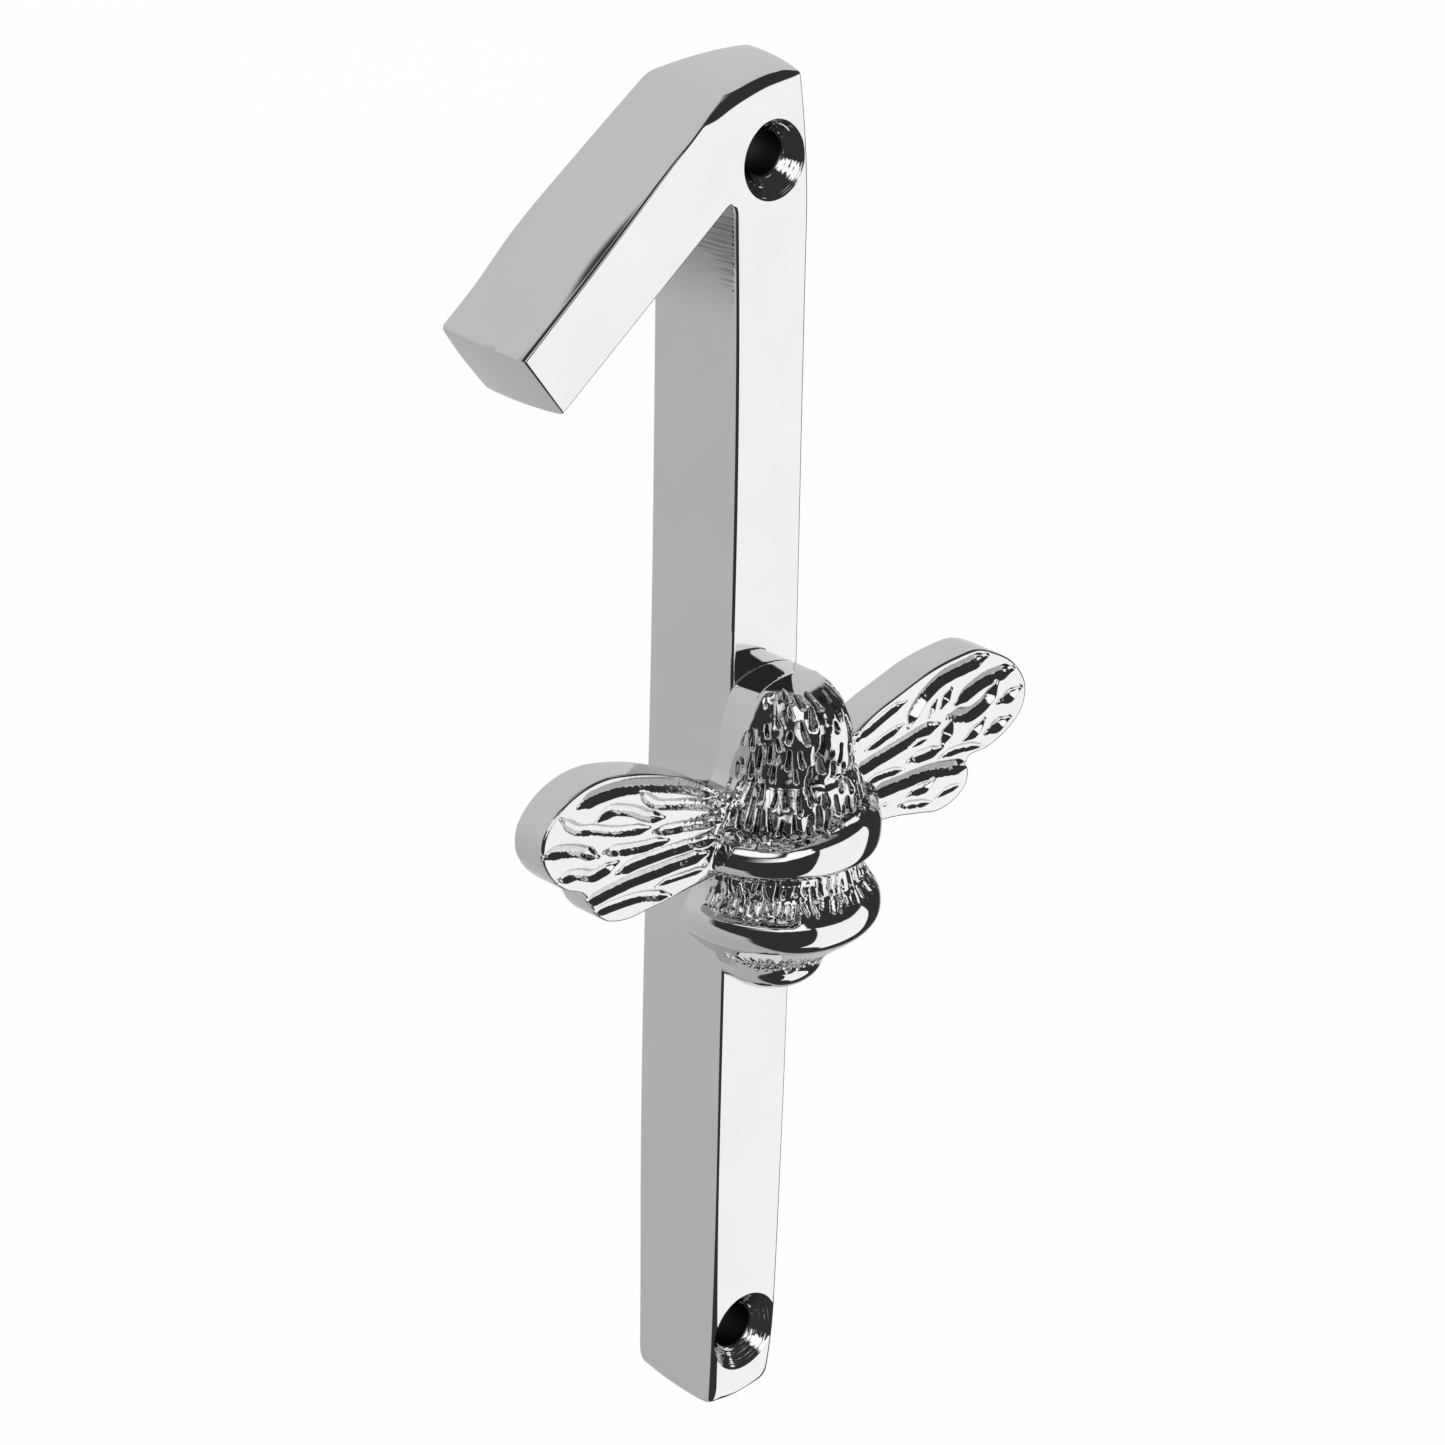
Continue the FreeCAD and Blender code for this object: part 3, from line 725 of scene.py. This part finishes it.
def scatter(rng, low, high, spacing):
    """Random places in a box, no two closer than spacing (across, along)."""
    kept = np.empty((0, 3))
    for _ in range(5000):
        across, up = rng.uniform(low, high)
        width = girth(up)
        apart = np.hypot((across - kept[:, 0]) * width / spacing[0], (up - kept[:, 1]) / spacing[1])
        if np.all(apart > 1):
            kept = np.vstack([kept, (across, up, width)])
    return kept


def carve_pits(relief, rng, zone, spacing, length, radius, depth):
    """Long drop-shaped pits with steep sides, scattered between polished lands. zone is (bottom, top)."""
    ends = (0.3, zone[0]), (math.pi * FUR_RADIUS - 0.3, zone[1])
    for across, up, width in scatter(rng, *ends, spacing):
        half = rng.uniform(*length) / 2
        wide = rng.uniform(*radius)
        lean = rng.uniform(-0.22, 0.22) / width
        line = [((across + aside * lean) * width, up + along * half)
                for aside, along in ((-1, -1), (0.4, 0), (1, 1))]
        reach = 1 / width
        here = relief.window((across - reach, up - half - 0.7), (across + reach, up + half + 0.7))
        away, along, whole, _ = line_distance(relief.across[here] * width, relief.up[here], line)
        drop = wide * (1.15 - 0.5 * along / whole)
        pit = depth * ramp(drop + 0.1 - away, 0, 0.24)
        relief.depth[here] = np.maximum(relief.depth[here], pit)


def fringe(relief, rng, edge, ends, depth, pitch):
    """A rough step down between the ragged ends of the strands and the lower edge of a band of fur."""
    ends = ends + value_noise(rng, relief.across, relief.up, pitch) * 0.45
    inside = between(relief.up, edge - 0.15, edge + 0.1, ends - 0.15, ends + 0.15)
    grain = value_noise(rng, relief.across, relief.up, 0.35)
    relief.depth = np.maximum(relief.depth, depth * inside * (0.8 + 0.4 * grain))


def make_fur():
    """The relief of the body: pitted thorax, collar, fur between the bands and on the tail."""
    rng = np.random.default_rng(7)
    top = up_the_body(10.4)
    fur = Relief((0, -26.5), (math.pi * FUR_RADIUS, top + 1), 0.06)
    across, up = fur.across, fur.up
    right = to_right(across)
    thorax, collar, between_bands, tail = (2.2, top - 0.5), (-3.2, 0.6), (-12.4, -9.6), (-20.5, -18.6)
    carve_pits(fur, rng, thorax, spacing=(1.15, 2.2), length=(0.8, 2.4), radius=(0.13, 0.26), depth=0.45)
    carve_pits(fur, rng, collar, spacing=(1.05, 1.9), length=(0.9, 2.6), radius=(0.15, 0.28), depth=0.55)
    fringe(fur, rng, edge=-4.95 + 1.2 * right, ends=-3.7 + 0.6 * right, depth=0.5, pitch=0.8)
    low_edge = -13.35 + 1.9 * (1 - ramp(across, 19.5, 21.3))
    carve_pits(fur, rng, between_bands, spacing=(0.7, 1.3), length=(0.6, 1.9), radius=(0.1, 0.18), depth=0.4)
    fringe(fur, rng, low_edge, low_edge + 0.75 * ramp(across, 19, 22), depth=0.4, pitch=0.5)
    carve_pits(fur, rng, tail, spacing=(0.6, 0.9), length=(0.6, 1.3), radius=(0.10, 0.17), depth=0.35)

    swell = value_noise(rng, 1.8 * across, up, 2.2)
    swell += 0.5 * value_noise(rng, 2 * across, up, 1.2)
    fur.depth += (0.28 + 0.2 * swell) * between(up, -4.6, -3.6, top - 1.5, top + 0.5)
    in_band = between(up, low_edge - 0.1, low_edge + 0.3, -9.6, -9.1)
    fur.depth += (0.12 + 0.09 * value_noise(rng, 1.6 * across, 0.6 * up, 0.8)) * in_band
    return fur


LEFT_WING = (
    (-4, -1), (-9.5, 0.6), (-12, 2.2), (-15, 3.6), (-18, 4.9), (-22, 6.1), (-26, 6.7), (-29.5, 6.1),
    (-32.2, 4.6), (-34, 2.2), (-34.1, -0.2), (-33.2, -2), (-31, -4.2), (-28.3, -5.6), (-27.7, -6.6),
    (-26.9, -7.9), (-25.3, -9.4), (-23.2, -10.05), (-19, -9.85), (-14.5, -9.3), (-9.5, -8.8), (-4, -8),
)
RIGHT_WING = (
    (4, -0.5), (8.5, 1.2), (12, 3.2), (16, 4.6), (20, 5.85), (24, 6.45), (27, 6.5), (30, 5.3), (33, 3.2),
    (34.7, 0.2), (34.3, -2.2), (32.5, -4), (29.5, -5.4), (26.2, -6.1), (26.5, -7.4), (26.2, -8.9),
    (24.8, -10.1), (22.2, -10.85), (19.5, -10.4), (16, -9.75), (10, -9.3), (4, -8),
)
VEINS = (
    # width, then the middle line
    (1.4, ((-29.4, 4.6), (-27.5, 5), (-25.3, 5.1), (-22.5, 4.9), (-19.5, 4.2), (-16.5, 3.3), (-13.5, 2.2),
       (-10.5, 0.7))),
    (1, ((-21, 4), (-20, 2.9), (-18.6, 1.8), (-16.5, 1.1), (-14, 0.5), (-11.5, -0.4), (-9, -1.1))),
    (1, ((-31.8, 4), (-30.6, 2.9), (-29, 1.9), (-27.3, 1.5), (-25.5, 0.8), (-23.5, 0.2), (-21.5, -0.2),
       (-19.6, -0.5))),
    (1.1, ((-26.9, 2.2), (-25.8, 2.7), (-24.8, 2.9), (-23.3, 2.5), (-21.5, 1.8), (-19.8, 0.8), (-17.6, 0))),
    (1.2, ((-34.2, 0.3), (-32.3, 0.4), (-30.3, 0), (-28.5, -0.7), (-26.6, -1.8))),
    (1.1, ((-32.3, -2.9), (-30.5, -2.8), (-28.8, -3.1), (-27.2, -3.7), (-25.5, -3.5), (-23.9, -3.1))),
    (1.1, ((-25.8, -1.5), (-24, -1.8), (-22, -2.2), (-20, -2.5), (-17, -2.7))),
    (1, ((-19, -1.2), (-17, -1.5), (-15, -1.8), (-12.8, -2.2), (-9.5, -2.7))),
    (1.1, ((-24, -4.4), (-22, -4.1), (-19.5, -4), (-16.5, -4), (-13.5, -4.2), (-10, -4.5))),
    (1.2, ((-28.5, -6.7), (-25.3, -6.2), (-22.5, -5.9), (-19.5, -5.8), (-16.5, -5.75), (-11.5, -5.8))),
    (1, ((-27.4, -8.1), (-24.5, -7.9), (-22.3, -7.9), (-20.3, -8.1), (-18.3, -8.6), (-16.5, -9.1))),
    (0.6, ((-18.6, -7.5), (-17, -7.3), (-15, -7.4), (-11.5, -7.5))),
    (0.8, ((9.5, 0.9), (11.5, 1.7), (13.5, 2.5), (15.2, 3.1), (16.7, 3.4))),
    (0.7, ((11, -0.7), (13.5, 0), (15.2, 0.5), (16.4, 0.9))),
    (1.3, ((17.2, 0.3), (17.9, 1.6), (18.9, 2.8), (20.3, 3.8), (22, 4.6), (24, 4.9), (26, 5.1),
       (28.5, 5.4))),
    (0.8, ((20.2, 0.6), (21.2, 2.3))),
    (1.1, ((22, 1.2), (23.3, 3))),
    (1.3, ((24.2, 1), (26, 1.9), (28, 2.6), (30.3, 2.8), (32.6, 2.8))),
    (1.3, ((23, -0.2), (24.5, -0.4), (26.2, -0.8), (27.8, -0.4), (29.2, 0.5), (30.2, 1.8))),
    (1.3, ((23.7, -0.8), (23, -2), (22.2, -3.2))),
    (1, ((17.3, -3.7), (19, -3.6), (20.8, -3.6), (22.3, -3.5))),
    (1.2, ((9.5, -2.9), (12, -2.3), (14.5, -1.8), (17, -1.3), (19.5, -0.8), (21.6, -0.6))),
    (0.5, ((17.4, -2.2), (19, -1.9), (20.6, -1.7))),
    (0.7, ((11, -4.5), (13.5, -4.2), (15, -4.2), (16.7, -4.4))),
    (0.7, ((22, -4.6), (24, -4.4), (26, -4.5), (28.4, -5))),
    (1, ((25.6, -3.6), (26.8, -3.2), (28, -2.5), (28.5, -1.9))),
    (1.2, ((30.5, -0.6), (32.3, -0.3), (33.8, 0.3))),
    (1.2, ((28.8, -3.7), (30.5, -3.3), (32.3, -2.8))),
    (1.3, ((12, -6), (16, -5.9), (19, -5.8), (21.5, -5.9), (24, -6.3), (26.2, -6.7))),
    (0.9, ((17.4, -7.7), (19, -7.5), (20.4, -7.4), (21.3, -6.9))),
    (0.5, ((13.2, -7.9), (15, -7.7))),
    (0.7, ((16.1, -8.5), (18, -8.9), (19.5, -9.2), (21, -9.4))),
    (0.6, ((21.6, -9.2), (23.2, -8.8), (25.5, -8.6))),
)
LEFT_BOLDNESS, RIGHT_BOLDNESS = 0.66, 0.72  # half a vein's width over its listed width
UPPER_SLOPE, LOWER_SLOPE = 2.4, 1  # a vein drops steeply from its upper edge to a flat floor
FLOOR_DEPTH = 0.9  # floor's depth over half the vein's width
WING_LOW, WING_HIGH = (-36, -12.5), (36.5, 8.5)
WING_ROOT = (9.8, 11.4)  # the stipple fades out this far from the middle


def outline_distance(relief, outline):
    """Signed distance to a smooth closed outline, negative inside."""
    line = spline(outline, 5)
    away, _, _, _ = line_distance(relief.across, relief.up, np.vstack([line, line[:1]]))
    inside = np.zeros(away.shape, bool)
    for (ax, az), (bx, bz) in zip(line, np.roll(line, -1, axis=0)):
        crosses = (az > relief.up) != (bz > relief.up)
        with np.errstate(divide="ignore", invalid="ignore"):
            meets = ax + (relief.up - az) * (bx - ax) / (bz - az)
        inside ^= crosses & (relief.across < meets)
    return np.where(inside, -away, away)


def make_veins(step):
    """The relief of the wings' fronts: cast veins with rough floors and stippled roots."""
    rng = np.random.default_rng(23)
    veins = Relief(WING_LOW, WING_HIGH, step)
    ragged = value_noise(rng, veins.across, veins.up, 1) * 0.05
    for width, middle in VEINS:
        line = spline(middle, 4)
        low, high = line.min(axis=0) - width, line.max(axis=0) + width
        here = veins.window(low, high)
        away, along, length, above = line_distance(veins.across[here], veins.up[here], line)
        ends = np.minimum(along, length - along)
        bold = RIGHT_BOLDNESS if middle[0][0] > 0 else LEFT_BOLDNESS
        half = bold * width * (0.35 + 0.65 * ramp(ends, 0, 1.6))
        offset = away * np.sign(above)
        upper, lower = UPPER_SLOPE * (half - offset), LOWER_SLOPE * (half + ragged[here] + offset)
        depth = np.clip(np.minimum(upper, lower), 0, FLOOR_DEPTH * half)
        veins.depth[here] = np.maximum(veins.depth[here], depth)
    grain = value_noise(rng, veins.across, veins.up, 0.3)
    veins.depth += 0.03 * grain * ramp(veins.depth, 0.2, 0.35)
    root = 1 - ramp(np.abs(veins.across), *WING_ROOT)
    stipple = value_noise(rng, veins.across, veins.up, 0.5) * 0.12 + 0.08 * grain
    veins.depth += root * (0.1 + stipple)
    return veins


# ---------------- bee: body and wings as one field

BODY_PROFILE = (
    # up, half width, depth in front of the body's axis
    (11.2, 0.2, 0.2), (10.9, 2.2, 3), (10.6, 3.4, 4.9), (10, 4.4, 6.8), (9, 5, 8.4), (8, 5.4, 9.2),
    (6, 6.1, 9.75), (4, 6.5, 9.9), (2, 6.7, 9.7), (1, 6.9, 9.4), (0, 7.5, 9.9), (-2, 8.8, 10.4),
    (-3.6, 9.6, 10.5), (-4.4, 9.65, 10.35), (-4.55, 9.8, 10.4), (-4.72, 10.15, 10.75), (-5.05, 10.5, 11.1),
    (-5.5, 10.75, 11.35), (-5.9, 10.9, 11.5), (-6.6, 11, 11.6), (-7.3, 10.95, 11.5), (-7.8, 10.75, 11.3),
    (-8.3, 10.3, 10.8), (-8.8, 9.7, 10.1), (-9.1, 9.2, 9.3), (-9.8, 9.4, 9.6), (-10.6, 9.4, 9.8),
    (-11.3, 9.5, 10.05), (-12, 9.85, 10.5), (-12.6, 10.2, 10.95), (-13.2, 10.6, 11.45),
    (-13.7, 10.85, 11.75), (-14.2, 10.95, 11.9), (-14.8, 10.97, 11.95), (-15.4, 10.9, 11.88),
    (-16.1, 10.6, 11.55), (-16.8, 10.15, 10.95), (-17.5, 9.45, 10.1), (-18.2, 8.7, 9.2), (-19.3, 7.6, 7.7),
    (-20.3, 6.3, 6.6), (-20.9, 5.9, 6.1), (-21.6, 5.5, 5.7), (-22.2, 5.4, 5.5), (-23.2, 4.8, 4.8),
    (-24, 3.8, 3.6), (-24.7, 2.2, 2), (-25, 0.2, 0.2),
)
PROFILE = spline(BODY_PROFILE, 6)[::-1]
CREASE_UP = 1  # between thorax and collar
COLLAR_LIFT = 1  # the collar sits this much higher on the right
CAP_DEPTH = 3.7  # the smooth top of the head, in front of the numeral
CAP_BLEND = 0.8  # rounding between the head's top and the dome
FUR_START, FUR_FADE = 2, 2.2  # fur begins this far in front of the numeral, and deepens over this
LATER_LEFT, LATER_RIGHT = 2.2, 0.5  # towards the head it begins this much further forward
LOBE_PLACE, LOBE_RADII = (9.1, -17.6, -5.2), (1.3, 1.3, 2.2)
LOBE_FILLET, WING_FILLET = 0.3, 0.5
BODY_LEFT, BODY_RIGHT = -12.6, 13.2  # the body lies between these


def round_the_body(x, y, z):
    """Angle round the body's axis, and height on its profile."""
    angle = np.arctan2(np.maximum(BODY_AXIS - y, 0), x - BODY_MIDDLE)
    return angle, z - COLLAR_LIFT * to_right(angle * FUR_RADIUS) * between(z, -8, -4.5, 0.5, 3.5)


def fur_start(across, ahead, level):
    """How strongly the fur is carved: it fades in towards the front, later near the head and on the left."""
    later = LATER_LEFT + (LATER_RIGHT - LATER_LEFT) * ramp(across, -2.5, 1.5)
    start = FUR_START + later * ramp(level, 1, 9)
    return ramp(ahead, start, start + FUR_FADE)


def body_distance(x, y, z, fur):
    """About how far outside the body a point is. Fur is carved into it."""
    angle, level = round_the_body(x, y, z)
    width = np.interp(level, PROFILE[:, 0], PROFILE[:, 1])
    depth = np.interp(level, PROFILE[:, 0], PROFILE[:, 2])
    on_ring = between(z, -9.2, -8.6, -5, -4.4) * ramp(angle * FUR_RADIUS, 20, 27)
    flare = 0.2 * (-6.9 - z) * on_ring
    beyond = np.maximum(z - PROFILE[-1, 0], 0) + np.maximum(PROFILE[0, 0] - z, 0)
    out = np.hypot(x - BODY_MIDDLE, np.maximum(BODY_AXIS - y, 0))
    reach = width * depth / np.sqrt((depth * np.cos(angle)) ** 2 + (width * np.sin(angle)) ** 2)
    distance = out - reach - flare + 3 * beyond
    distance = -smooth_union(-distance, -head_cap(x, y, z), CAP_BLEND)
    near = np.abs(distance) < 1.6
    around = angle * FUR_RADIUS, x - BODY_MIDDLE, FRONT - y, level
    along, across, ahead, level = (np.broadcast_to(values, distance.shape)[near] for values in around)
    distance[near] += fur.at(along, up_the_body(level)) * fur_start(across, ahead, level)
    return distance


def head_cap(x, y, z):
    """How far a point is above the head's smooth top, which dips a little before the edge of the fur."""
    ahead = np.maximum(FRONT - y, 0)
    crest = 10.85 - 1.1 * ((x - 0.5) / 4.5) ** 2 + 0.01 * ahead ** 2 - 0.027 * ahead
    return z - crest - 2.5 * np.maximum(ahead - CAP_DEPTH, 0)


def lobe_distance(places):
    """About how far outside the small rough lobe a point is. places holds its x, y and z."""
    shares = [(axis - middle) / radius for axis, middle, radius in zip(places, LOBE_PLACE, LOBE_RADII)]
    size = np.sqrt(sum(share ** 2 for share in shares))
    x, y, z = places
    rough = 0.12 * np.sin(7 * x + 1) * np.sin(8 * y) * np.sin(7.5 * z)
    return (size - 1) * LOBE_RADII[0] + rough


def wing_distance(x, y, outline, carved):
    """About how far outside a wing a point is: an outline, and a carved front with a rounded edge."""
    edge = 0.4
    ahead = (WING_FRONT + carved) - y
    both = np.hypot(np.maximum(outline + edge, 0), np.maximum(ahead + edge, 0)) - edge
    return np.maximum(both, np.minimum(np.maximum(outline, ahead), both))


def smooth_union(first, second, radius):
    """The union of two fields with a fillet of about that radius."""
    mix = np.clip(0.5 + 0.5 * (second - first) / radius, 0, 1)
    return second + (first - second) * mix - radius * mix * (1 - mix)


def wing_field(xs, ys, zs, veins, step):
    """The wings on a block of the grid."""
    x, z = np.meshgrid(xs, zs, indexing="ij")
    sheet = Relief(WING_LOW, WING_HIGH, step)
    sheet.depth = np.minimum(outline_distance(veins, LEFT_WING), outline_distance(veins, RIGHT_WING))
    outline, carved = sheet.at(x, z)[:, None, :], veins.at(x, z)[:, None, :]
    return wing_distance(x[:, None, :], ys[None, :, None], outline, carved)


def bee_field(step):
    """The bee on a grid: negative inside. Also the grid's lowest corner, and both reliefs."""
    low = np.array((-36, -25.8, -26.2))
    high = np.array((36.5, FRONT + 3 * step, 12.4))
    counts = np.ceil((high - low) / step).astype(int)
    xs, ys, zs = (low[axis] + step * np.arange(counts[axis]) for axis in range(3))
    far_outside = 4
    field = np.full(counts, far_outside, np.float32)

    fur = make_fur()
    veins = make_veins(step)
    rows = slice(*np.searchsorted(ys, (WING_FRONT - 1.2, high[1])))
    ups = slice(*np.searchsorted(zs, (WING_LOW[1], WING_HIGH[1])))
    field[:, rows, ups] = np.minimum(wing_field(xs, ys[rows], zs[ups], veins, step), far_outside)

    columns = slice(*np.searchsorted(xs, (BODY_LEFT, BODY_RIGHT)))
    x, y, z = xs[columns, None, None], ys[None, :, None], zs[None, None, :]
    body = body_distance(x, y, z, fur)
    body = smooth_union(body, lobe_distance((x, y, z)), LOBE_FILLET)
    body = smooth_union(body, field[columns], WING_FILLET)
    for up in BEE_SCREW_UPS:
        bore = np.maximum(np.hypot(x, z - up) - THREAD_RADIUS, FRONT - TAPPED_DEPTH - y)
        body = np.maximum(body, -bore)
    field[columns] = np.minimum(body, far_outside)
    field = np.maximum(field, (ys - FRONT)[None, :, None]).astype(np.float32)
    return field, low, fur, veins


CELL_CORNERS = [(i, j, k) for i in (0, 1) for j in (0, 1) for k in (0, 1)]


def net_surface(field):
    """Surface nets: one point in each cell that the surface crosses, joined by quads. In grid units."""
    inside = field < 0
    count = sum(inside[i:i - 1 or None, j:j - 1 or None, k:k - 1 or None].astype(np.int8)
                for i, j, k in CELL_CORNERS)
    cells = np.argwhere((count > 0) & (count < 8))
    corners = {corner: field[tuple((cells + corner).T)] for corner in CELL_CORNERS}
    total = np.zeros((len(cells), 3))
    hits = np.zeros(len(cells))
    for start, axis in [(start, axis) for start in corners for axis in range(3) if not start[axis]]:
        end = start[:axis] + (1,) + start[axis + 1:]
        first, second = corners[start], corners[end]
        crossed = (first < 0) != (second < 0)
        total[crossed] += start
        total[crossed, axis] += first[crossed] / (first[crossed] - second[crossed])
        hits[crossed] += 1
    points = cells + total / hits[:, None]
    number = np.full(np.array(field.shape) - 1, -1, np.int32)
    number[tuple(cells.T)] = np.arange(len(cells))
    quads = []
    for axis in range(3):
        last = field.shape[axis] - 1
        first, second = (np.take(inside, range(start, last + start), axis) for start in (0, 1))
        one, two = (axis + 1) % 3, (axis + 2) % 3
        for leaving in (True, False):
            at = np.argwhere(first & ~second if leaving else ~first & second)
            at = at[(at[:, one] > 0) & (at[:, two] > 0)]
            ring = []
            for a, b in ((0, 0), (1, 0), (1, 1), (0, 1)):
                cell = at.copy()
                cell[:, (one, two)] -= (1 - a, 1 - b)
                ring.append(number[tuple(cell.T)])
            quads.append(np.stack(ring if leaving else ring[::-1], axis=1))
    return points, np.vstack(quads)


def sample(field, places):
    """Trilinear reading of a grid, at places in grid units."""
    places = np.clip(places, 0, np.array(field.shape) - 1.001)
    cell = places.astype(int)
    part = places - cell
    value = np.zeros(len(places))
    for corner in CELL_CORNERS:
        weight = np.abs(1 - np.array(corner) - part)
        value += weight[:, 0] * weight[:, 1] * weight[:, 2] * field[tuple((cell + corner).T)]
    return value


def slope(field, places, reach=0.7):
    """The field's gradient at places in grid units."""
    return np.stack([sample(field, places + reach * unit) - sample(field, places - reach * unit)
                     for unit in np.eye(3)], axis=1) / (2 * reach)


def pull_to_surface(field, places, step):
    """Moves points onto the field's surface, so that the grid's steps don't show."""
    for _ in range(2):
        gradient = slope(field, places, 0.4)
        steepness = np.maximum(np.sum(gradient ** 2, axis=1), 0.25 * step ** 2)
        move = -sample(field, places)[:, None] * gradient / steepness[:, None]
        places = places + np.clip(move, -0.4, 0.4)
    return places


def mark_hollows(mesh, points, fur, veins):
    """Stores how deep each point lies in the fur, the veins or the rough lobe, for the finish to read."""
    on_wing = points[:, 1] > WING_FRONT - 0.3
    angle, level = round_the_body(*points.T)
    in_fur = fur.at(angle * FUR_RADIUS, up_the_body(level))
    in_fur *= fur_start(points[:, 0] - BODY_MIDDLE, FRONT - points[:, 1], level)
    in_vein = veins.at(points[:, 0], points[:, 2]) * (points[:, 1] < WING_FRONT + 1.2)
    hollow = ramp(np.where(on_wing, 0.55 * in_vein, in_fur), 0.3, 0.5)
    hollow = np.maximum(hollow, 1 - ramp(lobe_distance(points.T), 0, 0.3))
    attribute = mesh.attributes.new("hollow", "FLOAT", "POINT")
    attribute.data.foreach_set("value", hollow.astype(np.float32))


def make_bee(finishes):
    """The bumblebee: the surface of its field, thinned, with the field's own slopes for shading."""
    step = 0.14
    most_faces = 98000
    field, low, fur, veins = bee_field(step)
    places, quads = net_surface(field)
    places = pull_to_surface(field, places, step)
    places[:, 1] = np.minimum(places[:, 1], (FRONT - low[1]) / step)
    bee = new_object("bumblebee", low + places * step, quads.tolist())
    thin = bee.modifiers.new("thin", "DECIMATE")
    thin.ratio = min(1, most_faces / len(quads))
    apply_modifiers(bee)
    mesh = bee.data
    mesh.shade_smooth()

    flat = np.empty(len(mesh.vertices) * 3, np.float32)
    mesh.vertices.foreach_get("co", flat)
    points = flat.reshape(-1, 3) / MM - (0, 0, MIDDLE)
    normals = slope(field, (points - low) / step)
    normals /= np.maximum(np.linalg.norm(normals, axis=1, keepdims=True), 1e-9)
    mesh.normals_split_custom_set_from_vertices(normals.tolist())
    mark_hollows(mesh, points, fur, veins)
    finish_piece(bee, finishes["bee"], "bee_casting")


def finish_fixings(finishes):
    """The screws and washers keep their CAD shape and get a zinc-plated finish."""
    for name in ("bee_fixing_screws", "bee_lock_washers"):
        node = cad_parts[name]
        node.data.materials.clear()
        node.data.materials.append(finishes["steel"])
        for face in node.data.polygons:
            face.material_index = 0


make_camera()
make_studio()
make_floor()
finishes = make_finishes()
make_numeral(finishes)
make_bee(finishes)
finish_fixings(finishes)
